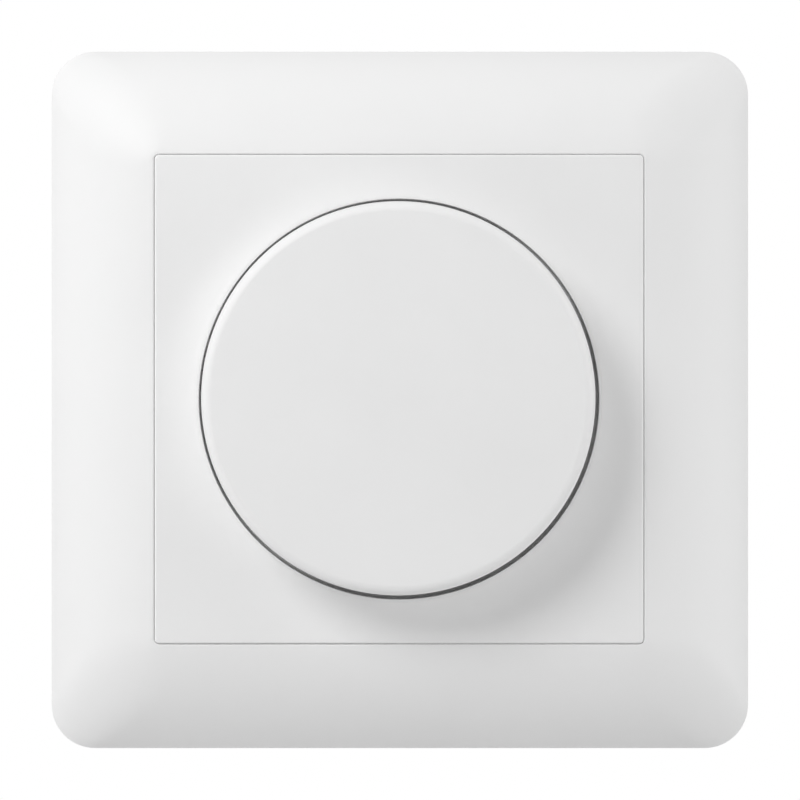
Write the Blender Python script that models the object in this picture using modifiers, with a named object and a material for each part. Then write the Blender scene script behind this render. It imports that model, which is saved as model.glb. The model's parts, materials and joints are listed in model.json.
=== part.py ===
"""Rotary dimmer switch for a round flush-mounting box.

A cover frame, a centre plate and a push-and-turn knob stand in front of the insert that goes into the box.

Every piece is drawn in the wall's own axes: x to the right, y up and z out of the wall, which is at z = 0.
The empty "wall" stands those axes upright, so that the finished switch faces -Y with +Z up.
"""

import math

import bmesh
import bpy
from mathutils import Matrix, Vector

MM = 0.001

# Clearances
TOUCH = 0.3 * MM  # between pieces that touch
SLIP = 0.3 * MM  # round a piece that turns or slides in another
PAST = 1.0 * MM  # how far a cutter runs past what it cuts

# Centre plate, with the raised collar and the well that the knob stands in
PLATE_WIDTH = 55.0 * MM
PLATE_CORNER = 0.5 * MM
PLATE_FRONT = 9.5 * MM
PLATE_WALL = 1.8 * MM
PLATE_SKIRT = 3.0 * MM
PLATE_GAP = 0.2 * MM
COLLAR_MARGIN = 1.2 * MM
COLLAR_FLARE = 3.4 * MM
COLLAR_LIP = 0.35 * MM
COLLAR_RISE = 0.45 * MM
WELL_DEPTH = 2.85 * MM
WELL_WALL = 1.45 * MM
WELL_FLOOR = 1.6 * MM
WELL_BOSS_WALL = 2.3 * MM

# Cover frame
FRAME_BORDER = 12.3 * MM
FRAME_CORNER = 5.0 * MM
FRAME_CORNER_SWELL = 3.5 * MM
FRAME_OPENING_CORNER = 0.7 * MM
FRAME_FRONT = 9.3 * MM
FRAME_SKIRT = 2.0 * MM
FRAME_WALL = 1.8 * MM
FRAME_RIM_WALL = 1.4 * MM
FRAME_RIM_EDGE = 0.3 * MM
FRAME_LEDGE = 1.5 * MM
FRAME_LEDGE_THICKNESS = 1.3 * MM
FRAME_BULGE = math.radians(21)

# Knob
KNOB_GAP = 0.7 * MM
KNOB_PROUD = 8.05 * MM
KNOB_EDGE = 1.2 * MM
KNOB_WALL = 1.6 * MM
KNOB_CAP = 1.6 * MM
KNOB_FOOT_CLEARANCE = 1.0 * MM
KNOB_RIBS = 6
KNOB_RIB_THICKNESS = 1.0 * MM
KNOB_RIB_DEPTH = 2.0 * MM
HUB_WALL = 2.3 * MM
HUB_RING_THICKNESS = 0.6 * MM
HUB_RING_HEIGHT = 1.6 * MM
HUB_RING_STEP = 0.8 * MM
HUB_RING_GAP = math.radians(25)
PUSH_TRAVEL = 1.5 * MM

# Spindle, its bush and the nut that holds the front pieces on
SPINDLE_RADIUS = 3.0 * MM
SPINDLE_FLAT = 2.0 * MM
SPINDLE_PIN_RADIUS = 2.0 * MM
SPINDLE_SHORT = 0.4 * MM
BUSH_WALL = 1.6 * MM
BUSH_FLANGE_RADIUS = 8.0 * MM
BUSH_FLANGE_THICKNESS = 1.2 * MM
BUSH_PROUD = 0.2 * MM
NUT_THICKNESS = 1.8 * MM
NUT_RADIUS = 8.0 * MM

# Support ring and the screws that hold the insert to it
RING_MARGIN = 2.7 * MM
RING_THICKNESS = 1.2 * MM
RING_CORNER = 3.0 * MM
RING_OPENING_CORNER = 8.0 * MM
RING_SIDE_SEAT = 1.0 * MM
RING_SCREWED_SEAT = 5.5 * MM
BOX_SCREW_CIRCLE = 30.0 * MM
BOX_SLOT_WIDTH = 3.6 * MM
BOX_SLOT_HALF_SWEEP = math.radians(7.0)
RING_SCREW_RADIUS = 1.1 * MM
RING_SCREW_HEAD_RADIUS = 2.1 * MM
RING_SCREW_HEAD = 1.4 * MM
RING_SCREW_X = 9.0 * MM
RING_SCREW_GRIP = 7.0 * MM

# Insert: the moulded cover and the housing that goes into the flush box
HOUSING_WIDTH = 43.0 * MM
HOUSING_HEIGHT = 49.0 * MM
HOUSING_CORNER = 12.0 * MM
HOUSING_DEPTH = 24.5 * MM
HOUSING_WALL = 1.6 * MM
HOUSING_BOSS_WALL = 0.7 * MM
COVER_FLANGE = 1.5 * MM
COVER_FRONT = 3.6 * MM
COVER_WALL = 1.6 * MM

# Expanding claws
CLAW_OFFSET = 6.0 * MM
CLAW_CLEAR_OF_HOUSING = 1.4 * MM
CLAW_THICKNESS = 1.2 * MM
CLAW_LENGTH = 19.7 * MM
CLAW_HALF_WIDTH = 4.8 * MM
CLAW_SLOT_HALF_WIDTH = 2.8 * MM
CLAW_BAR = 2.0 * MM
CLAW_TAB_REACH = 4.1 * MM
CLAW_TOOTH = 1.0 * MM
CLAW_TOOTH_LENGTH = 1.6 * MM
CLAW_REST = math.radians(13.0)
CLAW_SCREW_X = 1.3 * MM
CLAW_SCREW_RADIUS = 1.4 * MM
CLAW_SCREW_HEAD_RADIUS = 2.4 * MM
CLAW_SCREW_HEAD = 1.8 * MM
CLAW_SCREW_END = 0.6 * MM
CLAW_NUT_THICKNESS = 3.2 * MM
CLAW_NUT_REST = 13.0 * MM
CLAW_NUT_TONGUE = 2.4 * MM
CLAW_NUT_WALL = 0.7 * MM
CLAW_NUT_CLEARANCE = 0.45 * MM
CLAW_WINDOW_WIDTH = 2.9 * MM
CLAW_WINDOW_OUTER = 1.5 * MM

# Circuit board
BOARD_GAP = 0.5 * MM
BOARD_CORNER = 10.0 * MM
BOARD_THICKNESS = 1.6 * MM
BOARD_FRONT = 9.0 * MM
BOARD_HOLE_CLEARANCE = 0.9 * MM
BOARD_LEDGE_WIDTH = 4.0 * MM
BOARD_LEDGE_Y = (9.0 * MM, -13.0 * MM)

# Potentiometer
POT_WIDTH = 17.0 * MM
POT_WALL = 1.2 * MM
PIN_STANDOFF = 0.1 * MM
TRACK_THICKNESS = 1.0 * MM
TRACK_RADIUS = 7.0 * MM
WIPER_THICKNESS = 0.8 * MM
WIPER_RADIUS = 5.6 * MM
CARRIER_THICKNESS = 2.5 * MM
CARRIER_RADIUS = 6.5 * MM

# Push switch behind the board
SWITCH_WIDTH = 12.0 * MM
SWITCH_DEPTH = 8.0 * MM
SWITCH_FACE = 1.5 * MM
SWITCH_FLOOR = 0.6 * MM
SWITCH_CHAMBER_RADIUS = 4.2 * MM
PLUNGER_RADIUS = 1.9 * MM
PLUNGER_LENGTH = 4.1 * MM
CONTACT_THICKNESS = 0.6 * MM
CONTACT_RADIUS = 3.6 * MM
SPRING_RADIUS = 2.6 * MM
SPRING_WIRE_RADIUS = 0.25 * MM
SPRING_TURNS = 3

# Terminals
TERMINALS = 3
TERMINAL_PITCH = 10.0 * MM
TERMINAL_Y = -13.6 * MM
TERMINAL_SCREW_RADIUS = 1.3 * MM
TERMINAL_SCREW_HEAD_RADIUS = 2.1 * MM
TERMINAL_SCREW_HEAD = 1.5 * MM
TERMINAL_ACCESS_RADIUS = 2.3 * MM
CAGE_WIDTH = 5.6 * MM
CAGE_DEPTH_Y = 5.0 * MM
CAGE_WALL = 1.2 * MM
CAGE_TRAVEL = 2.4 * MM
BAR_THICKNESS = 0.8 * MM
BAR_WIDTH = 2.6 * MM
WIRE_HOLE_RADIUS = 1.8 * MM
TERMINAL_BLOCK_WALL = 1.2 * MM

# Trimmer that sets the lowest brightness
TRIMMER_PLACE = (-13.0 * MM, 10.0 * MM)
TRIMMER_WIDTH = 7.0 * MM
TRIMMER_HEIGHT = 3.2 * MM
TRIMMER_WHEEL_RADIUS = 2.6 * MM
TRIMMER_WHEEL_HEIGHT = 1.7 * MM
TRIMMER_RECESS = 1.4 * MM
DRIVER_SLOT_WIDTH = 0.7 * MM
DRIVER_SLOT_DEPTH = 0.7 * MM

# Other components on the board
CHOKE_PLACE = (12.9 * MM, 11.6 * MM)
CHOKE_RADIUS = 5.0 * MM
CHOKE_HEIGHT = 8.0 * MM
CHOKE_FLANGE = 1.2 * MM
CHOKE_NECK_RADIUS = 2.4 * MM
FUSE_Y = -13.2 * MM
FUSE_RADIUS = 2.6 * MM
FUSE_LENGTH = 20.0 * MM
FUSE_CAP_LENGTH = 5.0 * MM
FUSE_GLASS_STEP = 0.2 * MM
FUSE_CLIP_WIDTH = 2.4 * MM
FUSE_CLIP_WALL = 0.5 * MM
MOSFET_SIZE = (9.6 * MM, 11.0 * MM)
MOSFET_HEIGHT = 4.0 * MM
MOSFET_PLACE = (7.0 * MM, 12.4 * MM)
SINK_HALF_WIDTH = 13.6 * MM
SINK_THICKNESS = 1.5 * MM
SINK_FIN = 4.5 * MM
COMPONENT_HEIGHT = 10.0 * MM
FILM_CAPACITOR_PLACE = (-15.8 * MM, -1.5 * MM)
FILM_CAPACITOR_SIZE = (5.0 * MM, 13.0 * MM)
STORAGE_CAPACITOR_PLACE = (15.0 * MM, -3.0 * MM)
STORAGE_CAPACITOR_RADIUS = 4.0 * MM
VARISTOR_PLACE = (8.7 * MM, -2.0 * MM)
VARISTOR_RADIUS = 4.8 * MM
VARISTOR_THICKNESS = 3.4 * MM
CHIP_PLACE = (-13.6 * MM, -2.5 * MM)
CHIP_SIZE = (4.0 * MM, 5.0 * MM)
CHIP_HEIGHT = 1.5 * MM

# Facets of round shapes
FINE_SIDES = 64
SIDES = 32
SMALL_SIDES = 16
CORNER_STEPS = 4

# Sizes that follow from the ones above
well_radius = PLATE_WIDTH / 2 - COLLAR_MARGIN - COLLAR_FLARE - COLLAR_LIP
collar_front = PLATE_FRONT + COLLAR_RISE
well_floor_front = collar_front - WELL_DEPTH
well_floor_back = well_floor_front - WELL_FLOOR
plate_back = PLATE_FRONT - PLATE_SKIRT
frame_opening_half = PLATE_WIDTH / 2 + PLATE_GAP
frame_half = frame_opening_half + FRAME_BORDER

bush_bore = SPINDLE_RADIUS + SLIP
bush_radius = bush_bore + BUSH_WALL
nut_back = well_floor_front + TOUCH
nut_front = nut_back + NUT_THICKNESS
bush_front = nut_front + BUSH_PROUD

knob_radius = well_radius - KNOB_GAP
knob_front = collar_front + KNOB_PROUD
knob_foot = well_floor_front + KNOB_FOOT_CLEARANCE + PUSH_TRAVEL
knob_underside = knob_front - KNOB_CAP
hub_radius = bush_bore + HUB_WALL
hub_back = bush_front + TOUCH + PUSH_TRAVEL
spindle_front = knob_underside - SPINDLE_SHORT - TOUCH

ring_half = frame_half - FRAME_WALL - RING_MARGIN
opening_half_x = HOUSING_WIDTH / 2 - RING_SIDE_SEAT
opening_half_y = HOUSING_HEIGHT / 2 - RING_SCREWED_SEAT
screw_hole_radius = RING_SCREW_RADIUS + SLIP
housing_boss_radius = screw_hole_radius + HOUSING_BOSS_WALL
ring_screw_y = HOUSING_HEIGHT / 2 - housing_boss_radius - TOUCH
cover_back = -TOUCH - COVER_FLANGE
housing_front = cover_back - TOUCH
housing_inside_back = -HOUSING_DEPTH + HOUSING_WALL

board_half_width = HOUSING_WIDTH / 2 - HOUSING_WALL - BOARD_GAP
board_back = -BOARD_FRONT - BOARD_THICKNESS
pot_back = -BOARD_FRONT + TOUCH
pot_front = COVER_FRONT - COVER_WALL - TOUCH - BUSH_FLANGE_THICKNESS - TOUCH
track_back = pot_back + POT_WALL - TOUCH
track_front = track_back + TRACK_THICKNESS
wiper_front = track_front + TOUCH + WIPER_THICKNESS
carrier_back = wiper_front + TOUCH
carrier_front = carrier_back + CARRIER_THICKNESS
spindle_back = track_front + TOUCH + PUSH_TRAVEL
spindle_pin_back = pot_back + PIN_STANDOFF

switch_front = board_back - TOUCH
switch_back = switch_front - SWITCH_DEPTH
chamber_front = switch_front - SWITCH_FACE
chamber_back = switch_back + SWITCH_FLOOR
plunger_front = spindle_pin_back - TOUCH
plunger_back = plunger_front - PLUNGER_LENGTH
contact_front = plunger_back - TOUCH
contact_back = contact_front - CONTACT_THICKNESS

claw_pivot_x = HOUSING_WIDTH / 2 + CLAW_CLEAR_OF_HOUSING
claw_pivot_z = RING_THICKNESS / 2
terminal_head_back = housing_inside_back + TOUCH + TOUCH
terminal_head_front = terminal_head_back + TERMINAL_SCREW_HEAD
cage_back = terminal_head_front + TOUCH + CAGE_TRAVEL
bar_back = cage_back + CAGE_WALL + TOUCH
bar_front = bar_back + BAR_THICKNESS
cage_front = bar_front + CAGE_TRAVEL + TOUCH + CAGE_WALL


def fresh_scene():
    for thing in list(bpy.data.objects):
        bpy.data.objects.remove(thing, do_unlink=True)


def new_collection(name):
    made = bpy.data.collections.new(name)
    bpy.context.scene.collection.children.link(made)
    return made


def new_finish(name, colour, roughness, metallic=0.0):
    made = bpy.data.materials.new(name)
    made.use_nodes = True
    shader = made.node_tree.nodes["Principled BSDF"]
    shader.inputs["Base Color"].default_value = (*colour, 1.0)
    shader.inputs["Roughness"].default_value = roughness
    shader.inputs["Metallic"].default_value = metallic
    made.diffuse_color = (*colour, 1.0)
    return made


def new_empty(name, parent=None, place=(0, 0, 0), turn=(0, 0, 0)):
    made = bpy.data.objects.new(name, None)
    parts.objects.link(made)
    made.parent = parent
    made.location = place
    made.rotation_euler = turn
    return made


def add_object(name, mesh, finish, place, parent):
    """A piece with its finish, or a helper for a Boolean when it has none."""
    made = bpy.data.objects.new(name, mesh)
    made.parent = parent or wall
    made.location = place
    if finish:
        parts.objects.link(made)
        mesh.materials.append(finish)
    else:
        helpers.objects.link(made)
        made.hide_render = True
        made.display_type = "WIRE"
    return made


def block(name, low, high, finish=None, place=(0, 0, 0), parent=None):
    """A box between two corners."""
    low, high = Vector(low), Vector(high)
    size = high - low
    shape = Matrix.Translation((low + high) / 2) @ Matrix.Diagonal((*size, 1.0))
    made = bmesh.new()
    bmesh.ops.create_cube(made, size=1.0, matrix=shape)
    return finished(made, name, finish, place, parent)


def cylinder(name, radius, low, high, finish=None, place=(0, 0, 0), parent=None, axis="Z", sides=SIDES):
    """A cylinder along one axis, from low to high on it."""
    to_axis = {
        "X": Matrix.Rotation(math.pi / 2, 4, "Y"),
        "Y": Matrix.Rotation(-math.pi / 2, 4, "X"),
        "Z": Matrix.Identity(4),
    }[axis]
    made = bmesh.new()
    bmesh.ops.create_cone(
        made,
        cap_ends=True,
        segments=sides,
        radius1=radius,
        radius2=radius,
        depth=high - low,
        matrix=to_axis @ Matrix.Translation((0, 0, (low + high) / 2)),
    )
    return finished(made, name, finish, place, parent)


def finished(made, name, finish, place, parent):
    mesh = bpy.data.meshes.new(name)
    made.to_mesh(mesh)
    made.free()
    return add_object(name, mesh, finish, place, parent)


def turned(name, profile, finish=None, place=(0, 0, 0), parent=None, sides=SIDES, ring=False):
    """A profile of (radius, z) points turned about z.

    It runs down the outer side, and a ring's profile is closed.
    """
    mesh = bpy.data.meshes.new(name)
    edges = [(i, i + 1) for i in range(len(profile) - 1)]
    if ring:
        edges.append((len(profile) - 1, 0))
    mesh.from_pydata([(radius, 0, z) for radius, z in profile], edges, [])
    made = add_object(name, mesh, finish, place, parent)
    screw = made.modifiers.new("turn", "SCREW")
    screw.steps = sides
    screw.render_steps = sides
    screw.use_merge_vertices = True
    screw.merge_threshold = 0.00001
    return made


def plate(name, outlines, low, high, finish=None, place=(0, 0, 0), parent=None, axis="Z"):
    """A flat piece cut to its outlines, from low to high along one axis.

    The outer outline comes first and then its holes. Along Y, an outline's points are (x, z).
    """
    curve = bpy.data.curves.new(name, "CURVE")
    curve.dimensions = "2D"
    curve.fill_mode = "BOTH"
    curve.extrude = (high - low) / 2
    for outline in outlines:
        spline = curve.splines.new("POLY")
        spline.points.add(len(outline) - 1)
        for point, (x, y) in zip(spline.points, outline):
            point.co = (x, y, 0, 1)
        spline.use_cyclic_u = True
    drawn = bpy.data.objects.new(name + "_outline", curve)
    bpy.context.scene.collection.objects.link(drawn)
    bpy.context.view_layer.update()
    mesh = bpy.data.meshes.new_from_object(drawn.evaluated_get(bpy.context.evaluated_depsgraph_get()))
    bpy.data.objects.remove(drawn)
    mesh.name = name

    made = bmesh.new()
    made.from_mesh(mesh)
    bmesh.ops.remove_doubles(made, verts=made.verts, dist=0.000001)
    stand = Matrix.Translation((0, 0, (low + high) / 2))
    if axis == "Y":
        stand = Matrix.Rotation(math.pi / 2, 4, "X") @ Matrix.Translation((0, 0, -(low + high) / 2))
    bmesh.ops.transform(made, matrix=stand, verts=made.verts)
    bmesh.ops.recalc_face_normals(made, faces=made.faces)
    made.to_mesh(mesh)
    made.free()
    return add_object(name, mesh, finish, place, parent)


def combine(target, other, operation):
    """Cuts the other shape from the target, or joins it on."""
    other.parent = target.parent
    change = target.modifiers.new(other.name, "BOOLEAN")
    change.operation = operation
    change.object = other


def cut(target, *others):
    for other in others:
        combine(target, other, "DIFFERENCE")


def join(target, *others):
    for other in others:
        combine(target, other, "UNION")


def arc(centre, radius, start, end, steps):
    """Points from one angle to another, both included."""
    return [
        (
            centre[0] + radius * math.cos(start + (end - start) * i / steps),
            centre[1] + radius * math.sin(start + (end - start) * i / steps),
        )
        for i in range(steps + 1)
    ]


def circle(radius, centre=(0, 0), sides=SIDES):
    return arc(centre, radius, 0, math.tau * (sides - 1) / sides, sides - 1)


def rectangle(half_x, half_y, centre=(0, 0)):
    corners = ((1, 1), (-1, 1), (-1, -1), (1, -1))
    return [(centre[0] + x * half_x, centre[1] + y * half_y) for x, y in corners]


def rounded(half_x, half_y, corner, steps=CORNER_STEPS):
    """A rectangle about the middle with round corners, counterclockwise from the right-hand side."""
    points = []
    for quarter, (side_x, side_y) in enumerate(((1, 1), (-1, 1), (-1, -1), (1, -1))):
        centre = (side_x * (half_x - corner), side_y * (half_y - corner))
        start = quarter * math.pi / 2
        points += arc(centre, corner, start, start + math.pi / 2, steps)
    return points


def screw_slot(name, target, width, head_radius, head_front, depth):
    """Cuts the driver slot across a screw's head, whose front is towards +z when depth is positive."""
    slot = block(
        name,
        (-head_radius - PAST, -width / 2, min(head_front - depth, head_front + math.copysign(PAST, depth))),
        (head_radius + PAST, width / 2, max(head_front - depth, head_front + math.copysign(PAST, depth))),
        place=target.location,
    )
    cut(target, slot)


def flat_on(name, target, radius, flat, low, high):
    """Mills a flat on a round shape, at that distance from its axis."""
    cut(target, block(name, (flat, -radius - PAST, low), (radius + PAST, radius + PAST, high)))


# Cover frame


def frame_corner(half):
    """The corner radius of the frame's outline at one distance from its middle, widest halfway across."""
    share = (half - frame_opening_half) / FRAME_BORDER
    corner = FRAME_OPENING_CORNER + share * (FRAME_CORNER - FRAME_OPENING_CORNER)
    if 0 < share < 1:
        corner += 4 * share * (1 - share) * FRAME_CORNER_SWELL
    return max(FRAME_RIM_EDGE, corner)


def frame_section():
    """The frame's closed section as (distance from the middle, z).

    It goes up the outside, in over the front and back behind it.
    """
    edge_x, edge_z = frame_half, FRAME_SKIRT
    rim_x, rim_z = frame_opening_half + FRAME_RIM_EDGE, FRAME_FRONT
    chord = math.hypot(edge_x - rim_x, rim_z - edge_z)
    slope = math.atan2(rim_z - edge_z, edge_x - rim_x)
    radius = chord / (2 * math.sin(FRAME_BULGE))
    first_tilt = slope + FRAME_BULGE
    centre = (edge_x - radius * math.sin(first_tilt), edge_z - radius * math.cos(first_tilt))

    front_steps, back_steps = 7, 4
    outside = arc(centre, radius, math.pi / 2 - first_tilt, math.pi / 2 - slope + FRAME_BULGE, front_steps)

    inner_radius = radius - FRAME_WALL
    inner_edge = math.acos((frame_half - FRAME_WALL - centre[0]) / inner_radius)
    inner_rim = math.acos((frame_opening_half + FRAME_RIM_WALL - centre[0]) / inner_radius)
    inside = arc(centre, inner_radius, inner_rim, inner_edge, back_steps)

    ledge_front = plate_back - TOUCH
    ledge_back = ledge_front - FRAME_LEDGE_THICKNESS
    rim = [
        (frame_opening_half, FRAME_FRONT - FRAME_RIM_EDGE),
        (frame_opening_half, ledge_front),
        (frame_opening_half - FRAME_LEDGE, ledge_front),
        (frame_opening_half - FRAME_LEDGE, ledge_back),
        (frame_opening_half + FRAME_RIM_WALL, ledge_back),
    ]
    return [(frame_half, 0)] + outside + rim + inside + [(frame_half - FRAME_WALL, 0)]


def make_cover_frame():
    """A loft of square rings whose corners tighten from the outer edge to the opening."""
    made = bmesh.new()
    rings = []
    for half, z in frame_section():
        corner = frame_corner(half)
        rings.append([made.verts.new((x, y, z)) for x, y in rounded(half, half, corner)])
    for ring, following in zip(rings, rings[1:] + rings[:1]):
        count = len(ring)
        for i in range(count):
            j = (i + 1) % count
            made.faces.new((ring[i], ring[j], following[j], following[i]))
    bmesh.ops.recalc_face_normals(made, faces=made.faces)
    finished(made, "cover_frame", white_plastic, (0, 0, 0), None)


# Centre plate and knob


def make_centre_plate():
    half = PLATE_WIDTH / 2
    outline = rounded(half, half, PLATE_CORNER)
    square = plate("centre_plate", [outline], plate_back, PLATE_FRONT, white_plastic)
    inside = half - PLATE_WALL
    pocket = block(
        "plate_pocket", (-inside, -inside, plate_back - PAST), (inside, inside, PLATE_FRONT - PLATE_WALL)
    )
    middle = cylinder("plate_middle", well_radius + WELL_WALL / 2, plate_back - PAST, PLATE_FRONT + PAST)

    lip_radius = well_radius + COLLAR_LIP
    foot_radius = lip_radius + COLLAR_FLARE
    flare = []
    flare_steps = 5
    for i in range(flare_steps + 1):
        share = i / flare_steps
        flare.append((lip_radius + share * COLLAR_FLARE, PLATE_FRONT + COLLAR_RISE * (1 - share) ** 2))
    flare[-1] = (foot_radius, PLATE_FRONT - PLATE_WALL / 5)
    hole = bush_radius + SLIP
    profile = flare + [
        (well_radius + WELL_WALL, PLATE_FRONT - PLATE_WALL / 2),
        (well_radius + WELL_WALL, well_floor_back),
        (hole + WELL_BOSS_WALL, well_floor_back),
        (hole + WELL_BOSS_WALL, COVER_FRONT + TOUCH),
        (hole, COVER_FRONT + TOUCH),
        (hole, well_floor_front),
        (well_radius, well_floor_front),
        (well_radius, collar_front),
    ]
    well = turned("plate_well", profile, sides=FINE_SIDES, ring=True)
    cut(square, pocket, middle)
    join(square, well)


def make_rotary_knob():
    inner = knob_radius - KNOB_WALL
    edge = arc((knob_radius - KNOB_EDGE, knob_front - KNOB_EDGE), KNOB_EDGE, math.pi / 2, 0, CORNER_STEPS)
    profile = [(0, knob_front)] + edge + [
        (knob_radius, knob_foot),
        (inner, knob_foot),
        (inner, knob_underside),
        (hub_radius, knob_underside),
        (hub_radius, hub_back),
        (0, hub_back),
    ]
    knob = turned("rotary_knob", profile, white_plastic, sides=FINE_SIDES)
    for i in range(KNOB_RIBS):
        rib = block(
            f"knob_rib_{i + 1}",
            (hub_radius - HUB_WALL / 3, -KNOB_RIB_THICKNESS / 2, knob_underside - KNOB_RIB_DEPTH),
            (inner + KNOB_WALL / 3, KNOB_RIB_THICKNESS / 2, knob_underside + KNOB_CAP / 3),
        )
        rib.rotation_euler.z = math.tau * (i + 0.5) / KNOB_RIBS
        join(knob, rib)
    bore = cylinder("knob_bore", bush_bore, hub_back - PAST, spindle_front + TOUCH, sides=SMALL_SIDES)
    flat_on("knob_bore_flat", bore, bush_bore, SPINDLE_FLAT + SLIP, hub_back, knob_front)
    cut(knob, bore)

    ring_back = hub_back + HUB_RING_STEP
    ring_inner = hub_radius + TOUCH
    ring_outer = ring_inner + HUB_RING_THICKNESS
    outline = arc((0, 0), ring_outer, HUB_RING_GAP, math.tau - HUB_RING_GAP, 2 * SMALL_SIDES)
    outline += arc((0, 0), ring_inner, math.tau - HUB_RING_GAP, HUB_RING_GAP, 2 * SMALL_SIDES)
    plate("hub_spring_ring", [outline], ring_back, ring_back + HUB_RING_HEIGHT, spring_steel)


# Spindle, bush, nut and potentiometer


def make_spindle():
    profile = [
        (0, spindle_front),
        (SPINDLE_RADIUS, spindle_front),
        (SPINDLE_RADIUS, spindle_back),
        (SPINDLE_PIN_RADIUS, spindle_back),
        (SPINDLE_PIN_RADIUS, spindle_pin_back),
        (0, spindle_pin_back),
    ]
    spindle = turned("spindle", profile, spindle_plastic, sides=SMALL_SIDES)
    flat_on("spindle_knob_flat", spindle, SPINDLE_RADIUS, SPINDLE_FLAT, hub_back, spindle_front + PAST)
    low, high = spindle_back - PAST, carrier_front + PUSH_TRAVEL
    flat_on("spindle_rotor_flat", spindle, SPINDLE_RADIUS, SPINDLE_FLAT, low, high)


def make_bush_and_nut():
    flange_front = COVER_FRONT - COVER_WALL - TOUCH
    flange_back = flange_front - BUSH_FLANGE_THICKNESS
    profile = [
        (bush_radius, bush_front),
        (bush_radius, flange_front),
        (BUSH_FLANGE_RADIUS, flange_front),
        (BUSH_FLANGE_RADIUS, flange_back),
        (bush_bore, flange_back),
        (bush_bore, bush_front),
    ]
    turned("pot_bush", profile, brass, ring=True)

    hexagon = circle(NUT_RADIUS, sides=6)
    plate("fixing_nut", [hexagon, circle(bush_radius + SLIP)], nut_back, nut_front, zinc_steel)


def make_potentiometer():
    half = POT_WIDTH / 2
    case = block("pot_case", (-half, -half, pot_back), (half, half, pot_front), black_plastic)
    inside = half - POT_WALL
    cut(
        case,
        block("pot_inside", (-inside, -inside, pot_back - PAST), (inside, inside, pot_front - POT_WALL)),
        cylinder("pot_hole", bush_bore, pot_front - POT_WALL - PAST, pot_front + PAST),
    )
    square = rectangle(TRACK_RADIUS, TRACK_RADIUS)
    pin_hole = circle(SPINDLE_PIN_RADIUS + SLIP, sides=SMALL_SIDES)
    plate("resistor_track", [square, pin_hole], track_back, track_front, track_board)

    wiper_hole = circle(bush_bore + SLIP, sides=SMALL_SIDES)
    plate("wiper_contact", [circle(WIPER_RADIUS), wiper_hole], track_front + TOUCH, wiper_front, brass)

    carrier = cylinder("wiper_carrier", CARRIER_RADIUS, carrier_back, carrier_front, grey_plastic)
    bore = cylinder("carrier_bore", bush_bore, carrier_back - PAST, carrier_front + PAST, sides=SMALL_SIDES)
    low, high = carrier_back - 2 * PAST, carrier_front + 2 * PAST
    flat_on("carrier_bore_flat", bore, bush_bore, SPINDLE_FLAT + SLIP, low, high)
    cut(carrier, bore)


# Push switch


def make_push_switch():
    half = SWITCH_WIDTH / 2
    body = block("switch_body", (-half, -half, switch_back), (half, half, switch_front), black_plastic)
    cut(
        body,
        cylinder("switch_bore", PLUNGER_RADIUS + SLIP, chamber_front - PAST, switch_front + PAST),
        cylinder("switch_chamber", SWITCH_CHAMBER_RADIUS, chamber_back, chamber_front),
    )
    cylinder("switch_plunger", PLUNGER_RADIUS, plunger_back, plunger_front, grey_plastic, sides=SMALL_SIDES)
    cylinder("switch_contact", CONTACT_RADIUS, contact_back, contact_front, brass)

    curve = bpy.data.curves.new("switch_spring", "CURVE")
    curve.dimensions = "3D"
    curve.bevel_depth = SPRING_WIRE_RADIUS
    curve.bevel_resolution = 1
    curve.use_fill_caps = True
    spline = curve.splines.new("POLY")
    low = chamber_back + TOUCH + SPRING_WIRE_RADIUS
    high = contact_back - TOUCH - SPRING_WIRE_RADIUS
    points = SPRING_TURNS * SMALL_SIDES
    spline.points.add(points)
    for i, point in enumerate(spline.points):
        angle = math.tau * i / SMALL_SIDES
        z = low + (high - low) * i / points
        point.co = (SPRING_RADIUS * math.cos(angle), SPRING_RADIUS * math.sin(angle), z, 1)
    add_object("switch_spring", curve, spring_steel, (0, 0, 0), None)


# Support ring, insert and the screws between them


def ring_screw_places():
    return [(x, y) for x in (-RING_SCREW_X, RING_SCREW_X) for y in (-ring_screw_y, ring_screw_y)]


def box_slot(angle):
    """A curved slot for a flush box's screw, with round ends, on the screws' circle."""
    half = BOX_SLOT_WIDTH / 2
    first, last = angle - BOX_SLOT_HALF_SWEEP, angle + BOX_SLOT_HALF_SWEEP
    outline = arc((0, 0), BOX_SCREW_CIRCLE + half, first, last, CORNER_STEPS)
    for end, inward in ((last, False), (first, True)):
        centre = (BOX_SCREW_CIRCLE * math.cos(end), BOX_SCREW_CIRCLE * math.sin(end))
        start = end + math.pi if inward else end
        outline += arc(centre, half, start, start + math.pi, CORNER_STEPS)[1:-1]
        if not inward:
            outline += arc((0, 0), BOX_SCREW_CIRCLE - half, last, first, CORNER_STEPS)
    return outline


def claw_windows(side):
    """The two windows and the screw hole that one claw needs in the ring."""
    inner = claw_pivot_x - CLAW_WINDOW_WIDTH + CLAW_WINDOW_OUTER
    outer = claw_pivot_x + CLAW_WINDOW_OUTER
    low = CLAW_SLOT_HALF_WIDTH - SLIP
    high = CLAW_HALF_WIDTH + SLIP
    outlines = []
    for offset in (1, -1):
        centre = (side * (inner + outer) / 2, side * (-CLAW_OFFSET + offset * (low + high) / 2))
        outlines.append(rectangle((outer - inner) / 2, (high - low) / 2, centre))
    hole = (side * (claw_pivot_x + CLAW_SCREW_X), -side * CLAW_OFFSET)
    outlines.append(circle(CLAW_SCREW_RADIUS + SLIP, hole, SMALL_SIDES))
    return outlines


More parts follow.
